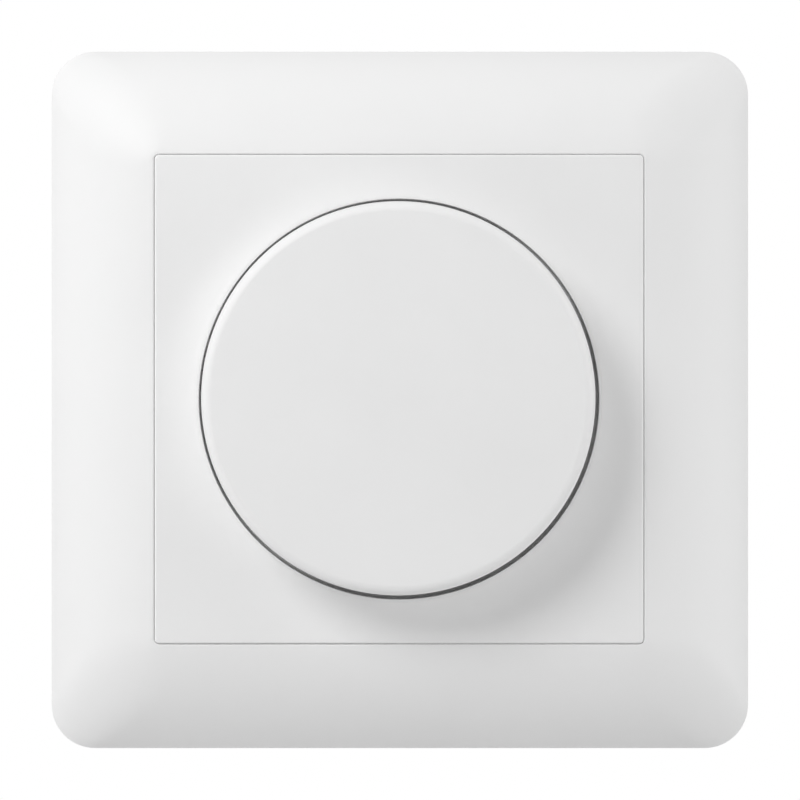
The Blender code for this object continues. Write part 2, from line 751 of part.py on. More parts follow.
def make_support_ring():
    outlines = [
        rounded(ring_half, ring_half, RING_CORNER),
        rounded(opening_half_x, opening_half_y, RING_OPENING_CORNER),
    ]
    outlines += [box_slot(quarter * math.pi / 2) for quarter in range(4)]
    outlines += [circle(screw_hole_radius, place, SMALL_SIDES) for place in ring_screw_places()]
    outlines += claw_windows(1) + claw_windows(-1)
    plate("support_ring", outlines, 0, RING_THICKNESS, zinc_steel)

    head_back = RING_THICKNESS + TOUCH
    head_front = head_back + RING_SCREW_HEAD
    for i, (x, y) in enumerate(ring_screw_places()):
        profile = [
            (0, head_front),
            (RING_SCREW_HEAD_RADIUS - RING_SCREW_HEAD / 3, head_front),
            (RING_SCREW_HEAD_RADIUS, head_front - RING_SCREW_HEAD / 3),
            (RING_SCREW_HEAD_RADIUS, head_back),
            (RING_SCREW_RADIUS, head_back),
            (RING_SCREW_RADIUS, housing_front - RING_SCREW_GRIP),
            (0, housing_front - RING_SCREW_GRIP - RING_SCREW_RADIUS),
        ]
        turned(f"ring_screw_{i + 1}", profile, zinc_steel, (x, y, 0), sides=SMALL_SIDES)


def make_insert_cover():
    half_x, half_y = HOUSING_WIDTH / 2, HOUSING_HEIGHT / 2
    holes = [circle(screw_hole_radius, place, SMALL_SIDES) for place in ring_screw_places()]
    flange = plate(
        "insert_cover", [rounded(half_x, half_y, HOUSING_CORNER)] + holes, cover_back, -TOUCH, dark_plastic
    )
    step_x, step_y = opening_half_x - TOUCH, opening_half_y - TOUCH
    step_corner = RING_OPENING_CORNER - TOUCH
    step = plate("cover_step", [rounded(step_x, step_y, step_corner)], -TOUCH - COVER_FLANGE / 2, COVER_FRONT)
    hollow = plate(
        "cover_hollow",
        [rounded(step_x - COVER_WALL, step_y - COVER_WALL, step_corner - COVER_WALL)],
        cover_back - PAST,
        COVER_FRONT - COVER_WALL,
    )
    join(flange, step)
    past = COVER_FRONT + PAST
    bush_hole = cylinder("cover_bush_hole", bush_radius + SLIP, 0, past)
    trimmer_view = TRIMMER_WHEEL_RADIUS - SLIP
    trimmer_hole = cylinder("cover_trimmer_hole", trimmer_view, 0, past, place=(*TRIMMER_PLACE, 0))
    cut(flange, hollow, bush_hole, trimmer_hole)


def make_insert_housing():
    half_x, half_y = HOUSING_WIDTH / 2, HOUSING_HEIGHT / 2
    outline = rounded(half_x, half_y, HOUSING_CORNER)
    housing = plate("insert_housing", [outline], -HOUSING_DEPTH, housing_front, dark_plastic)
    inner_x, inner_y = half_x - HOUSING_WALL, half_y - HOUSING_WALL
    hollow = plate(
        "housing_hollow",
        [rounded(inner_x, inner_y, HOUSING_CORNER - HOUSING_WALL)],
        housing_inside_back,
        housing_front + PAST,
    )
    cut(housing, hollow)

    hole_end = housing_front - RING_SCREW_GRIP - RING_SCREW_RADIUS - TOUCH
    boss_end = hole_end - HOUSING_BOSS_WALL
    for i, (x, y) in enumerate(ring_screw_places()):
        out_of_wall = y + math.copysign(HOUSING_BOSS_WALL, y)
        low, high = sorted((y - math.copysign(housing_boss_radius, y), out_of_wall + math.copysign(TOUCH, y)))
        half = housing_boss_radius
        join(housing, block(f"boss_{i + 1}", (x - half, low, boss_end), (x + half, high, housing_front)))
        hole = cylinder(
            f"boss_hole_{i + 1}",
            screw_hole_radius,
            hole_end,
            housing_front + PAST,
            place=(x, y, 0),
            sides=SMALL_SIDES,
        )
        cut(housing, hole)

    for side in (-1, 1):
        for i, y in enumerate(BOARD_LEDGE_Y):
            ledge_inner = board_half_width - HOUSING_WALL / 2
            low, high = sorted((side * ledge_inner, side * (inner_x + HOUSING_WALL / 2)))
            ledge = block(
                f"board_ledge_{i + 1}{'_right' if side > 0 else '_left'}",
                (low, y - BOARD_LEDGE_WIDTH / 2, housing_inside_back - HOUSING_WALL / 2),
                (high, y + BOARD_LEDGE_WIDTH / 2, board_back - TOUCH),
            )
            join(housing, ledge)

    wire_z = (bar_front + cage_front - CAGE_WALL) / 2
    for i, x in enumerate(terminal_places()):
        access = cylinder(
            f"access_{i + 1}",
            TERMINAL_ACCESS_RADIUS,
            -HOUSING_DEPTH - PAST,
            housing_inside_back + PAST,
            place=(x, TERMINAL_Y, 0),
            sides=SMALL_SIDES,
        )
        entry = cylinder(
            f"wire_entry_{i + 1}",
            WIRE_HOLE_RADIUS,
            -half_y - PAST,
            -inner_y + TOUCH,
            place=(x, 0, wire_z),
            axis="Y",
            sides=SMALL_SIDES,
        )
        cut(housing, access, entry)


# Claws


def claw_side(name, side):
    """An empty on one claw's hinge line, turned half round for the left-hand claw."""
    place = (side * claw_pivot_x, -side * CLAW_OFFSET, claw_pivot_z)
    turn = 0 if side > 0 else math.pi
    return new_empty("claw_hinge_" + name, wall, place, (0, 0, turn))


def claw_outline():
    """The bent strip seen from its side, as (x, z) from the hinge line.

    It has the tab over the ring, the arm and the tooth.
    """
    half = CLAW_THICKNESS / 2
    along = Vector((math.sin(CLAW_REST), -math.cos(CLAW_REST)))
    outward = Vector((math.cos(CLAW_REST), math.sin(CLAW_REST)))
    tab_back = RING_THICKNESS + TOUCH - claw_pivot_z
    tab_front = tab_back + CLAW_THICKNESS

    def on_face(offset, z):
        return outward * offset + along * ((outward.y * offset - z) / math.cos(CLAW_REST))

    return [
        on_face(-half, tab_front),
        Vector((CLAW_TAB_REACH, tab_front)),
        Vector((CLAW_TAB_REACH, tab_back)),
        on_face(half, tab_back),
        outward * half + along * (CLAW_LENGTH - CLAW_TOOTH_LENGTH),
        outward * (half + CLAW_TOOTH) + along * CLAW_LENGTH,
        outward * -half + along * CLAW_LENGTH,
    ]


def make_claw(name, side):
    hinge = claw_side(name, side)
    strip = plate(
        "claw_" + name,
        [claw_outline()],
        -CLAW_HALF_WIDTH,
        CLAW_HALF_WIDTH,
        zinc_steel,
        parent=hinge,
        axis="Y",
    )
    slot_length = CLAW_LENGTH - CLAW_BAR
    slot = block(
        "claw_slot_" + name,
        (-CLAW_TAB_REACH, -CLAW_SLOT_HALF_WIDTH, -slot_length),
        (CLAW_TAB_REACH + PAST, CLAW_SLOT_HALF_WIDTH, CLAW_TAB_REACH + PAST),
        parent=hinge,
    )
    slot.rotation_euler.y = -CLAW_REST
    cut(strip, slot)

    head_back = RING_THICKNESS + TOUCH - claw_pivot_z
    head_front = head_back + CLAW_SCREW_HEAD
    nut_rest_front = -CLAW_NUT_REST - claw_pivot_z
    nut_rest_back = nut_rest_front - CLAW_NUT_THICKNESS
    profile = [
        (0, head_front),
        (CLAW_SCREW_HEAD_RADIUS, head_front),
        (CLAW_SCREW_HEAD_RADIUS, head_back),
        (CLAW_SCREW_RADIUS, head_back),
        (CLAW_SCREW_RADIUS, nut_rest_back - CLAW_SCREW_END),
        (0, nut_rest_back - CLAW_SCREW_END),
    ]
    screw_place = (CLAW_SCREW_X, 0, 0)
    screw = turned("claw_screw_" + name, profile, zinc_steel, screw_place, hinge, SMALL_SIDES)
    screw_slot(
        "claw_screw_driver_slot_" + name,
        screw,
        DRIVER_SLOT_WIDTH,
        CLAW_SCREW_HEAD_RADIUS,
        head_front,
        CLAW_SCREW_HEAD / 2,
    )

    arm_x = (-nut_rest_front) * math.tan(CLAW_REST) - CLAW_THICKNESS / 2 / math.cos(CLAW_REST)
    wing = arm_x - CLAW_NUT_CLEARANCE
    inner = CLAW_NUT_CLEARANCE - CLAW_CLEAR_OF_HOUSING
    tongue = CLAW_SCREW_X + CLAW_SCREW_RADIUS + SLIP + CLAW_NUT_WALL
    half = CLAW_HALF_WIDTH - TOUCH
    outline = [
        (wing, half),
        (inner, half),
        (inner, -half),
        (wing, -half),
        (wing, -CLAW_NUT_TONGUE),
        (tongue, -CLAW_NUT_TONGUE),
        (tongue, CLAW_NUT_TONGUE),
        (wing, CLAW_NUT_TONGUE),
    ]
    hole = circle(CLAW_SCREW_RADIUS + SLIP, (CLAW_SCREW_X, 0), SMALL_SIDES)
    plate("claw_nut_" + name, [outline, hole], nut_rest_back, nut_rest_front, zinc_steel, parent=hinge)


# Circuit board and what stands on it


def stand(name, place, size, low, high, finish):
    """A block on the board, by its middle and its width and length there."""
    half_x, half_y = size[0] / 2, size[1] / 2
    block(name, (-half_x, -half_y, low), (half_x, half_y, high), finish, (*place, 0))


def make_circuit_board():
    square = rounded(board_half_width, board_half_width, BOARD_CORNER)
    hole = circle(PLUNGER_RADIUS + BOARD_HOLE_CLEARANCE, sides=SMALL_SIDES)
    plate("circuit_board", [square, hole], board_back, -BOARD_FRONT, board_green)

    before = -BOARD_FRONT + TOUCH  # where a component on the front starts
    behind = board_back - TOUCH  # and one on the back

    choke_front = before + CHOKE_HEIGHT
    core = [
        (0, choke_front),
        (CHOKE_RADIUS, choke_front),
        (CHOKE_RADIUS, choke_front - CHOKE_FLANGE),
        (CHOKE_NECK_RADIUS, choke_front - CHOKE_FLANGE),
        (CHOKE_NECK_RADIUS, before + CHOKE_FLANGE),
        (CHOKE_RADIUS, before + CHOKE_FLANGE),
        (CHOKE_RADIUS, before),
        (0, before),
    ]
    turned("choke_core", core, ferrite, (*CHOKE_PLACE, 0))
    winding_low, winding_high = before + CHOKE_FLANGE + TOUCH, choke_front - CHOKE_FLANGE - TOUCH
    winding = [
        (CHOKE_RADIUS - TOUCH, winding_high),
        (CHOKE_RADIUS - TOUCH, winding_low),
        (CHOKE_NECK_RADIUS + TOUCH, winding_low),
        (CHOKE_NECK_RADIUS + TOUCH, winding_high),
    ]
    turned("choke_winding", winding, copper, (*CHOKE_PLACE, 0), ring=True)

    fuse_z = before + FUSE_CLIP_WALL + TOUCH + FUSE_RADIUS
    make_fuse(before, fuse_z)
    make_trimmer(before)

    mosfet_back = behind - MOSFET_HEIGHT
    for i, side in enumerate((-1, 1)):
        place = (side * MOSFET_PLACE[0], MOSFET_PLACE[1])
        stand(f"mosfet_{i + 1}", place, MOSFET_SIZE, mosfet_back, behind, black_epoxy)
    sink_front = mosfet_back - TOUCH
    half_length = MOSFET_SIZE[1] / 2
    sink_low, sink_high = MOSFET_PLACE[1] - half_length, MOSFET_PLACE[1] + half_length
    sink = block(
        "heat_sink",
        (-SINK_HALF_WIDTH, sink_low, sink_front - SINK_THICKNESS),
        (SINK_HALF_WIDTH, sink_high, sink_front),
        aluminium,
    )
    for i, side in enumerate((-1, 1)):
        low, high = sorted((side * SINK_HALF_WIDTH, side * (SINK_HALF_WIDTH - SINK_THICKNESS)))
        fin_back = sink_front - SINK_THICKNESS - SINK_FIN
        join(sink, block(f"sink_fin_{i + 1}", (low, sink_low, fin_back), (high, sink_high, sink_front)))

    back = behind - COMPONENT_HEIGHT
    stand("film_capacitor", FILM_CAPACITOR_PLACE, FILM_CAPACITOR_SIZE, back, behind, red_epoxy)
    cylinder(
        "storage_capacitor",
        STORAGE_CAPACITOR_RADIUS,
        back,
        behind,
        black_plastic,
        (*STORAGE_CAPACITOR_PLACE, 0),
    )
    cylinder(
        "varistor",
        VARISTOR_RADIUS,
        VARISTOR_PLACE[0] - VARISTOR_THICKNESS / 2,
        VARISTOR_PLACE[0] + VARISTOR_THICKNESS / 2,
        blue_epoxy,
        (0, VARISTOR_PLACE[1], (back + behind) / 2),
        axis="X",
    )
    stand("controller_chip", CHIP_PLACE, CHIP_SIZE, before, before + CHIP_HEIGHT, black_epoxy)


def make_fuse(before, fuse_z):
    end = FUSE_LENGTH / 2
    place = (0, FUSE_Y, fuse_z)
    glass = cylinder("fuse", FUSE_RADIUS, -end, end, fuse_glass, place, axis="X", sides=SMALL_SIDES)
    waist = end - FUSE_CAP_LENGTH
    around = circle(FUSE_RADIUS + PAST, sides=SMALL_SIDES)
    tube = circle(FUSE_RADIUS - FUSE_GLASS_STEP, sides=SMALL_SIDES)
    ring = plate("fuse_waist", [around, tube], -waist, waist, place=place)
    ring.rotation_euler.y = math.pi / 2
    cut(glass, ring)

    hole = FUSE_RADIUS + TOUCH
    half = hole + FUSE_CLIP_WALL
    for i, side in enumerate((-1, 1)):
        x = side * (end - FUSE_CAP_LENGTH / 2)
        low = (x - FUSE_CLIP_WIDTH / 2, FUSE_Y - half, before)
        high = (x + FUSE_CLIP_WIDTH / 2, FUSE_Y + half, fuse_z + FUSE_RADIUS / 2)
        clip = block(f"fuse_clip_{i + 1}", low, high, brass)
        cradle = cylinder(
            f"fuse_cradle_{i + 1}",
            hole,
            x - FUSE_CLIP_WIDTH / 2 - PAST,
            x + FUSE_CLIP_WIDTH / 2 + PAST,
            place=place,
            axis="X",
            sides=SMALL_SIDES,
        )
        mouth = block(
            f"fuse_mouth_{i + 1}",
            (low[0] - PAST, FUSE_Y - FUSE_RADIUS, fuse_z),
            (high[0] + PAST, FUSE_Y + FUSE_RADIUS, high[2] + PAST),
        )
        cut(clip, cradle, mouth)


def make_trimmer(before):
    half = TRIMMER_WIDTH / 2
    place = (*TRIMMER_PLACE, 0)
    top = before + TRIMMER_HEIGHT
    base = block("trimmer_base", (-half, -half, before), (half, half, top), blue_epoxy, place)
    recess_back = top - TRIMMER_RECESS
    cut(base, cylinder("trimmer_recess", TRIMMER_WHEEL_RADIUS + SLIP, recess_back, top + PAST, place=place))
    wheel_back = recess_back + TOUCH
    wheel_front = wheel_back + TRIMMER_WHEEL_HEIGHT
    wheel = cylinder("trimmer_wheel", TRIMMER_WHEEL_RADIUS, wheel_back, wheel_front, white_plastic, place)
    screw_slot("trimmer_slot", wheel, DRIVER_SLOT_WIDTH, TRIMMER_WHEEL_RADIUS, wheel_front, DRIVER_SLOT_DEPTH)


# Terminals


def terminal_places():
    return [(i - (TERMINALS - 1) / 2) * TERMINAL_PITCH for i in range(TERMINALS)]


def make_terminals():
    half_cage = CAGE_WIDTH / 2
    half_cage_y = CAGE_DEPTH_Y / 2
    cell_x, cell_y = half_cage + SLIP, half_cage_y + SLIP
    block_x = (TERMINALS - 1) / 2 * TERMINAL_PITCH + cell_x + TERMINAL_BLOCK_WALL
    block_y = cell_y + TERMINAL_BLOCK_WALL
    place = (0, TERMINAL_Y, 0)
    body_back, body_front = housing_inside_back + TOUCH, board_back - TOUCH
    low, high = (-block_x, -block_y, body_back), (block_x, block_y, body_front)
    body = block("terminal_block", low, high, grey_plastic, place)
    wire_z = (bar_front + cage_front - CAGE_WALL) / 2
    screw_end = bar_back - TOUCH
    strip_end = block_y + TOUCH + BAR_THICKNESS
    for i, x in enumerate(terminal_places()):
        number = i + 1
        wire_way = cylinder(
            f"wire_way_{number}",
            WIRE_HOLE_RADIUS,
            -block_y - PAST,
            -cell_y + PAST,
            place=(x, TERMINAL_Y, wire_z),
            axis="Y",
            sides=SMALL_SIDES,
        )
        strip_way = block(
            f"strip_way_{number}",
            (x - BAR_WIDTH / 2 - SLIP, cell_y - PAST, bar_back - SLIP),
            (x + BAR_WIDTH / 2 + SLIP, block_y + PAST, board_back + PAST),
            place=place,
        )
        cell = block(
            f"terminal_cell_{number}",
            (x - cell_x, -cell_y, body_back - PAST),
            (x + cell_x, cell_y, body_front + PAST),
            place=place,
        )
        cut(body, cell, wire_way, strip_way)

        cage = block(
            f"terminal_clamp_{number}",
            (x - half_cage, -half_cage_y, cage_back),
            (x + half_cage, half_cage_y, cage_front),
            brass,
            place,
        )
        window = block(
            f"cage_window_{number}",
            (x - BAR_WIDTH / 2 - SLIP, -half_cage_y - PAST, cage_back + CAGE_WALL),
            (x + BAR_WIDTH / 2 + SLIP, half_cage_y + PAST, cage_front - CAGE_WALL),
            place=place,
        )
        thread = cylinder(
            f"cage_thread_{number}",
            TERMINAL_SCREW_RADIUS + SLIP,
            cage_back - PAST,
            cage_back + CAGE_WALL + PAST,
            place=(x, TERMINAL_Y, 0),
            sides=SMALL_SIDES,
        )
        cut(cage, window, thread)

        strip = block(
            f"terminal_bar_{number}",
            (x - BAR_WIDTH / 2, -half_cage_y, bar_back),
            (x + BAR_WIDTH / 2, strip_end, bar_front),
            brass,
            place,
        )
        tail = block(
            f"bar_tail_{number}",
            (x - BAR_WIDTH / 2, strip_end - BAR_THICKNESS, bar_back),
            (x + BAR_WIDTH / 2, strip_end, board_back - TOUCH),
            place=place,
        )
        join(strip, tail)

        profile = [
            (0, screw_end),
            (TERMINAL_SCREW_RADIUS, screw_end),
            (TERMINAL_SCREW_RADIUS, terminal_head_front),
            (TERMINAL_SCREW_HEAD_RADIUS, terminal_head_front),
            (TERMINAL_SCREW_HEAD_RADIUS, terminal_head_back),
            (0, terminal_head_back),
        ]
        screw_place = (x, TERMINAL_Y, 0)
        screw = turned(f"terminal_screw_{number}", profile, zinc_steel, screw_place, sides=SMALL_SIDES)
        screw_slot(
            f"terminal_screw_slot_{number}",
            screw,
            DRIVER_SLOT_WIDTH,
            TERMINAL_SCREW_HEAD_RADIUS,
            terminal_head_back,
            -TERMINAL_SCREW_HEAD / 2,
        )


fresh_scene()
parts = new_collection("rotary_dimmer")
helpers = new_collection("boolean_helpers")
wall = new_empty("wall", turn=(math.pi / 2, 0, 0))

white_plastic = new_finish("white_plastic", (0.86, 0.86, 0.85), 0.35)
dark_plastic = new_finish("dark_plastic", (0.06, 0.06, 0.065), 0.5)
black_plastic = new_finish("black_plastic", (0.02, 0.02, 0.022), 0.45)
grey_plastic = new_finish("grey_plastic", (0.3, 0.31, 0.32), 0.5)
spindle_plastic = new_finish("spindle_plastic", (0.7, 0.7, 0.68), 0.4)
zinc_steel = new_finish("zinc_steel", (0.62, 0.63, 0.65), 0.35, 1.0)
spring_steel = new_finish("spring_steel", (0.5, 0.5, 0.52), 0.3, 1.0)
brass = new_finish("brass", (0.78, 0.6, 0.28), 0.3, 1.0)
copper = new_finish("copper", (0.72, 0.33, 0.18), 0.3, 1.0)
aluminium = new_finish("aluminium", (0.75, 0.76, 0.78), 0.4, 1.0)
board_green = new_finish("board_green", (0.03, 0.16, 0.06), 0.4)
track_board = new_finish("track_board", (0.3, 0.18, 0.08), 0.6)
black_epoxy = new_finish("black_epoxy", (0.015, 0.015, 0.016), 0.6)
red_epoxy = new_finish("red_epoxy", (0.45, 0.06, 0.03), 0.4)
blue_epoxy = new_finish("blue_epoxy", (0.03, 0.12, 0.4), 0.4)
ferrite = new_finish("ferrite", (0.03, 0.03, 0.03), 0.7)
fuse_glass = new_finish("fuse_glass", (0.7, 0.72, 0.72), 0.1)

make_cover_frame()
make_centre_plate()
make_rotary_knob()
make_spindle()
make_bush_and_nut()
make_potentiometer()
make_push_switch()
make_support_ring()
make_insert_cover()
make_insert_housing()
make_claw("right", 1)
make_claw("left", -1)
make_circuit_board()
make_terminals()

for piece in parts.objects:
    if piece.type == "MESH":
        piece.data.shade_smooth()
        piece.data.set_sharp_from_angle(angle=math.radians(35))
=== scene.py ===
# Rotary dimmer switch for a flush wall box: the moulded front pieces and the insert behind them.
import json
import math

import bmesh
import bpy
from mathutils import Matrix, Vector

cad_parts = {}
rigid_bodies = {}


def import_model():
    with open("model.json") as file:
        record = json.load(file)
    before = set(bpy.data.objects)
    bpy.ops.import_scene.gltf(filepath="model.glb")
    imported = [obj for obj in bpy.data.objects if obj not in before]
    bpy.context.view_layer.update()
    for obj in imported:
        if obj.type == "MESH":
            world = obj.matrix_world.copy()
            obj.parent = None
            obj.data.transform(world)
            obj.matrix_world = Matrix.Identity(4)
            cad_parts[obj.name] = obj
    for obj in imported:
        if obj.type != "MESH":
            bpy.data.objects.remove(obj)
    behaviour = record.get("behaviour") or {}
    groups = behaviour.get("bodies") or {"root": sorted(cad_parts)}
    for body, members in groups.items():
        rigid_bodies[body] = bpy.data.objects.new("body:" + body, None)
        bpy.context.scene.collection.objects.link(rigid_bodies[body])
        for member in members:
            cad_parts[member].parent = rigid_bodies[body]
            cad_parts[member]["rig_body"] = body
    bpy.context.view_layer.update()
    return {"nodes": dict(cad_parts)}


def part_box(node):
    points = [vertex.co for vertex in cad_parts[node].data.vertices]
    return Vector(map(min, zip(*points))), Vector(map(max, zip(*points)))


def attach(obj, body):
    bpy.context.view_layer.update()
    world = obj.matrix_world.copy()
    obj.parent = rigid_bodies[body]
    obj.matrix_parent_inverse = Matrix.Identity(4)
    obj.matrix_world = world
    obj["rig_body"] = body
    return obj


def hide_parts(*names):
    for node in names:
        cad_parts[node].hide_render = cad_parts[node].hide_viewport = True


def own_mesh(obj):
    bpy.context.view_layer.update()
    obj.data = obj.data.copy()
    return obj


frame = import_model()
print("frame loaded:", len(frame["nodes"]), "solids")

# Everything is drawn in millimetres on the wall: x right, y up, z out of it. This stands it up in metres.
standUp = Matrix.Rotation(math.pi / 2, 4, "X") @ Matrix.Scale(0.001, 4)


def boxOf(node):
    # lowest and highest corner of a solid, in drawing millimetres
    low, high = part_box(node)
    return Vector((low.x, low.z, -high.y)) * 1000, Vector((high.x, high.z, -low.y)) * 1000


def arc(centre, radius, start, end, steps):
    # points on an arc, angles in degrees
    turns = [math.radians(start + (end - start) * i / steps) for i in range(steps + 1)]
    return [(centre[0] + radius * math.cos(a), centre[1] + radius * math.sin(a)) for a in turns]


def ring(radius, steps=96, centre=(0, 0)):
    # a full circle
    return arc(centre, radius, 0, 360 - 360 / steps, steps - 1)


def roundedBox(halfX, halfY, corner, steps=12, centre=(0, 0)):
    # a rectangle with rounded corners
    points = []
    for start, sideX, sideY in ((0, 1, 1), (90, -1, 1), (180, -1, -1), (270, 1, -1)):
        middle = (centre[0] + sideX * (halfX - corner), centre[1] + sideY * (halfY - corner))
        points += arc(middle, corner, start, start + 90, steps)
    return points


def softened(points, radius, steps=4, closed=True):
    # rounds the corners of an outline, less where its edges are short
    points = [Vector(p) for p in points]
    soft = []
    for i, corner in enumerate(points):
        before, after = points[i - 1] - corner, points[(i + 1) % len(points)] - corner
        if not closed and i in (0, len(points) - 1) or before.length < 1e-6 or after.length < 1e-6:
            soft.append(corner)
            continue
        reach = before.angle(after) / 2
        if reach > math.radians(86) or reach < math.radians(4):
            soft.append(corner)
            continue
        cut = min(radius / math.tan(reach), 0.45 * before.length, 0.45 * after.length)
        middle = (before.normalized() + after.normalized()).normalized() * cut / math.cos(reach)
        first, last = before.normalized() * cut - middle, after.normalized() * cut - middle
        turn = first.angle_signed(last)
        for step in range(steps + 1):
            soft.append(corner + middle + Matrix.Rotation(-turn * step / steps, 2) @ first)
    return [tuple(p) for p in soft]


def area(points):
    # above zero where the outline runs anticlockwise
    return sum(a[0] * b[1] - b[0] * a[1] for a, b in zip(points, points[1:] + points[:1])) / 2


def shrunk(points, inset):
    # an outline moved sideways, to its left
    moved = []
    for i, point in enumerate(points):
        before = Vector(point) - Vector(points[i - 1])
        after = Vector(points[(i + 1) % len(points)]) - Vector(point)
        before, after = before.normalized().orthogonal(), after.normalized().orthogonal()
        middle = (before + after).normalized()
        moved.append(tuple(Vector(point) + middle * inset / max(0.5, middle.dot(after))))
    return moved


def roundedEdge(radius, face, steps, way=1):
    # a rounded edge as (inset, height), from the face round to the side; way is -1 on a back
    turns = [math.radians(90 * i / steps) for i in range(steps + 1)]
    return [(radius * (1 - math.sin(a)), face - way * radius * (1 - math.cos(a))) for a in turns]


def loftShape(rings, shape=None):
    # a skin over rings of equally many points, each extruded from the one before; returns the end loops too
    shape = shape or bmesh.new()
    number = shape.verts.layers.int.get("number") or shape.verts.layers.int.new("number")
    verts = [shape.verts.new(point) for point in rings[0]]
    for i, vert in enumerate(verts):
        vert[number] = i
    loop = [shape.edges.new(pair) for pair in zip(verts, verts[1:] + verts[:1])]
    start = loop
    for points in rings[1:]:
        made = bmesh.ops.extrude_edge_only(shape, edges=loop)["geom"]
        fresh = {item for item in made if isinstance(item, bmesh.types.BMVert)}
        for vert in fresh:
            vert.co = points[vert[number]]
        loop = [e for e in made if isinstance(e, bmesh.types.BMEdge) and set(e.verts) <= fresh]
    return shape, start, loop


def closeUp(shape, dist=0.0005):
    # merges the seams and turns the faces outwards
    bmesh.ops.remove_doubles(shape, verts=shape.verts, dist=dist)
    bmesh.ops.recalc_face_normals(shape, faces=shape.faces)
    return shape


def turnedShape(profile, steps=96, closed=False):
    # a profile of (radius, z) spun about z
    shape = bmesh.new()
    verts = [shape.verts.new((max(r, 0), 0, z)) for r, z in profile]
    edges = [shape.edges.new(pair) for pair in zip(verts, verts[1:])]
    if closed:
        edges.append(shape.edges.new((verts[-1], verts[0])))
    bmesh.ops.spin(
        shape, geom=verts + edges, cent=(0, 0, 0), axis=(0, 0, 1), angle=math.tau, steps=steps, use_merge=True
    )
    return closeUp(shape)


def plateShape(outlines, low, high, edge=0.12, steps=2):
    # a flat piece between two heights, the outer outline first and then its holes, with softened edges
    shape = bmesh.new()
    sides = roundedEdge(edge, high, steps) if edge else [(0, high)]
    sides += [(inset, low + high - z) for inset, z in reversed(sides)]
    ends = [[], []]
    for i, outline in enumerate(outlines):
        if (area(outline) > 0) != (i == 0):
            outline = outline[::-1]
        rings = [[(x, y, z) for x, y in shrunk(outline, inset)] for inset, z in sides]
        shape, start, last = loftShape(rings, shape=shape)
        ends[0] += start
        ends[1] += last
    for loops in ends:
        bmesh.ops.triangle_fill(shape, use_beauty=True, edges=loops)
    return closeUp(shape)


def rod(low, high, radius, edge, steps):
    # a disc or rod between two heights, with softened ends
    profile = [(0, high), (radius, high), (radius, low), (0, low)]
    return turnedShape(softened(profile, edge, steps, False), 64)


def boxShape(low, high, edge=0.15, corner=0.3):
    # a block between two corners, softened
    half = [(b - a) / 2 for a, b in zip(low, high)]
    centre = [(a + b) / 2 for a, b in zip(low, high)]
    outline = roundedBox(half[0], half[1], min(corner, half[0], half[1]) * 0.99, 3, centre[:2])
    return plateShape([outline], low[2], high[2], edge)


def moved(shape, place=(0, 0, 0), turn=0, axis="Z"):
    # turned first, in degrees, and then moved
    matrix = Matrix.Translation(place) @ Matrix.Rotation(math.radians(turn), 4, axis)
    bmesh.ops.transform(shape, matrix=matrix, verts=shape.verts)
    return shape


def gather(*shapes):
    # several shapes in one
    whole = bmesh.new()
    for shape in shapes:
        mesh = bpy.data.meshes.new("part")
        shape.to_mesh(mesh)
        shape.free()
        whole.from_mesh(mesh)
        bpy.data.meshes.remove(mesh)
    return whole


def carved(shape, tool, operation="DIFFERENCE"):
    # one shape cut from another, or joined to it
    objects = []
    for made, name in ((shape, "stock"), (tool, "cutter")):
        bmesh.ops.recalc_face_normals(made, faces=made.faces)
        mesh = bpy.data.meshes.new(name)
        made.to_mesh(mesh)
        made.free()
        item = bpy.data.objects.new(name, mesh)
        bpy.context.scene.collection.objects.link(item)
        objects.append(item)
    change = objects[0].modifiers.new("change", "BOOLEAN")
    change.operation = operation
    change.object = objects[1]
    result = bmesh.new()
    result.from_object(objects[0], bpy.context.evaluated_depsgraph_get())
    for item in objects:
        mesh = item.data
        bpy.data.objects.remove(item)
        bpy.data.meshes.remove(mesh)
    bmesh.ops.remove_doubles(result, verts=result.verts, dist=0.0003)
    bmesh.ops.dissolve_degenerate(result, dist=0.0003, edges=result.edges)
    return result


def softenSharp(shape, width, angle=40, segments=2):
    # bevels the sharp edges of a shape
    bmesh.ops.recalc_face_normals(shape, faces=shape.faces)
    least = math.radians(angle)
    sharp = [e for e in shape.edges if len(e.link_faces) == 2 and e.calc_face_angle(0) > least]
    bmesh.ops.bevel(
        shape, geom=sharp, offset=width, offset_type="OFFSET", affect="EDGES", segments=segments, profile=0.5,
        material=-1, clamp_overlap=True,
    )
    return shape


def keepPiece(node, shape, finish, sharp=32, name=None):
    # the finished piece: stood up in metres, riding with the solid that it stands for and named after it
    first, *rest = node.split("_")
    name = name or first + "".join(word.capitalize() for word in rest)
    bmesh.ops.transform(shape, matrix=standUp, verts=shape.verts)
    for layer in list(shape.verts.layers.int.values()):
        shape.verts.layers.int.remove(layer)
    mesh = bpy.data.meshes.new(name)
    shape.to_mesh(mesh)
    shape.free()
    for material in finish if isinstance(finish, (list, tuple)) else [finish]:
        mesh.materials.append(material)
    mesh.shade_smooth()
    mesh.set_sharp_from_angle(angle=math.radians(sharp))
    piece = bpy.data.objects.new(name, mesh)
    bpy.context.scene.collection.objects.link(piece)
    even = piece.modifiers.new("even shading", "WEIGHTED_NORMAL")
    even.keep_sharp = True
    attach(piece, frame["nodes"][node]["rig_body"])
    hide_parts(node)
    return piece


def refined(node, edge, segments=2):
    # a copy of a plain solid with its flats joined up and its edges softened
    shape = bmesh.new()
    shape.from_mesh(frame["nodes"][node].data)
    bmesh.ops.transform(shape, matrix=standUp.inverted(), verts=shape.verts)
    closeUp(shape, 0.002)
    bmesh.ops.dissolve_limit(
        shape, angle_limit=math.radians(1), use_dissolve_boundaries=False,
        verts=shape.verts, edges=shape.edges,
    )
    return softenSharp(shape, edge, 40, segments)


# Finishes


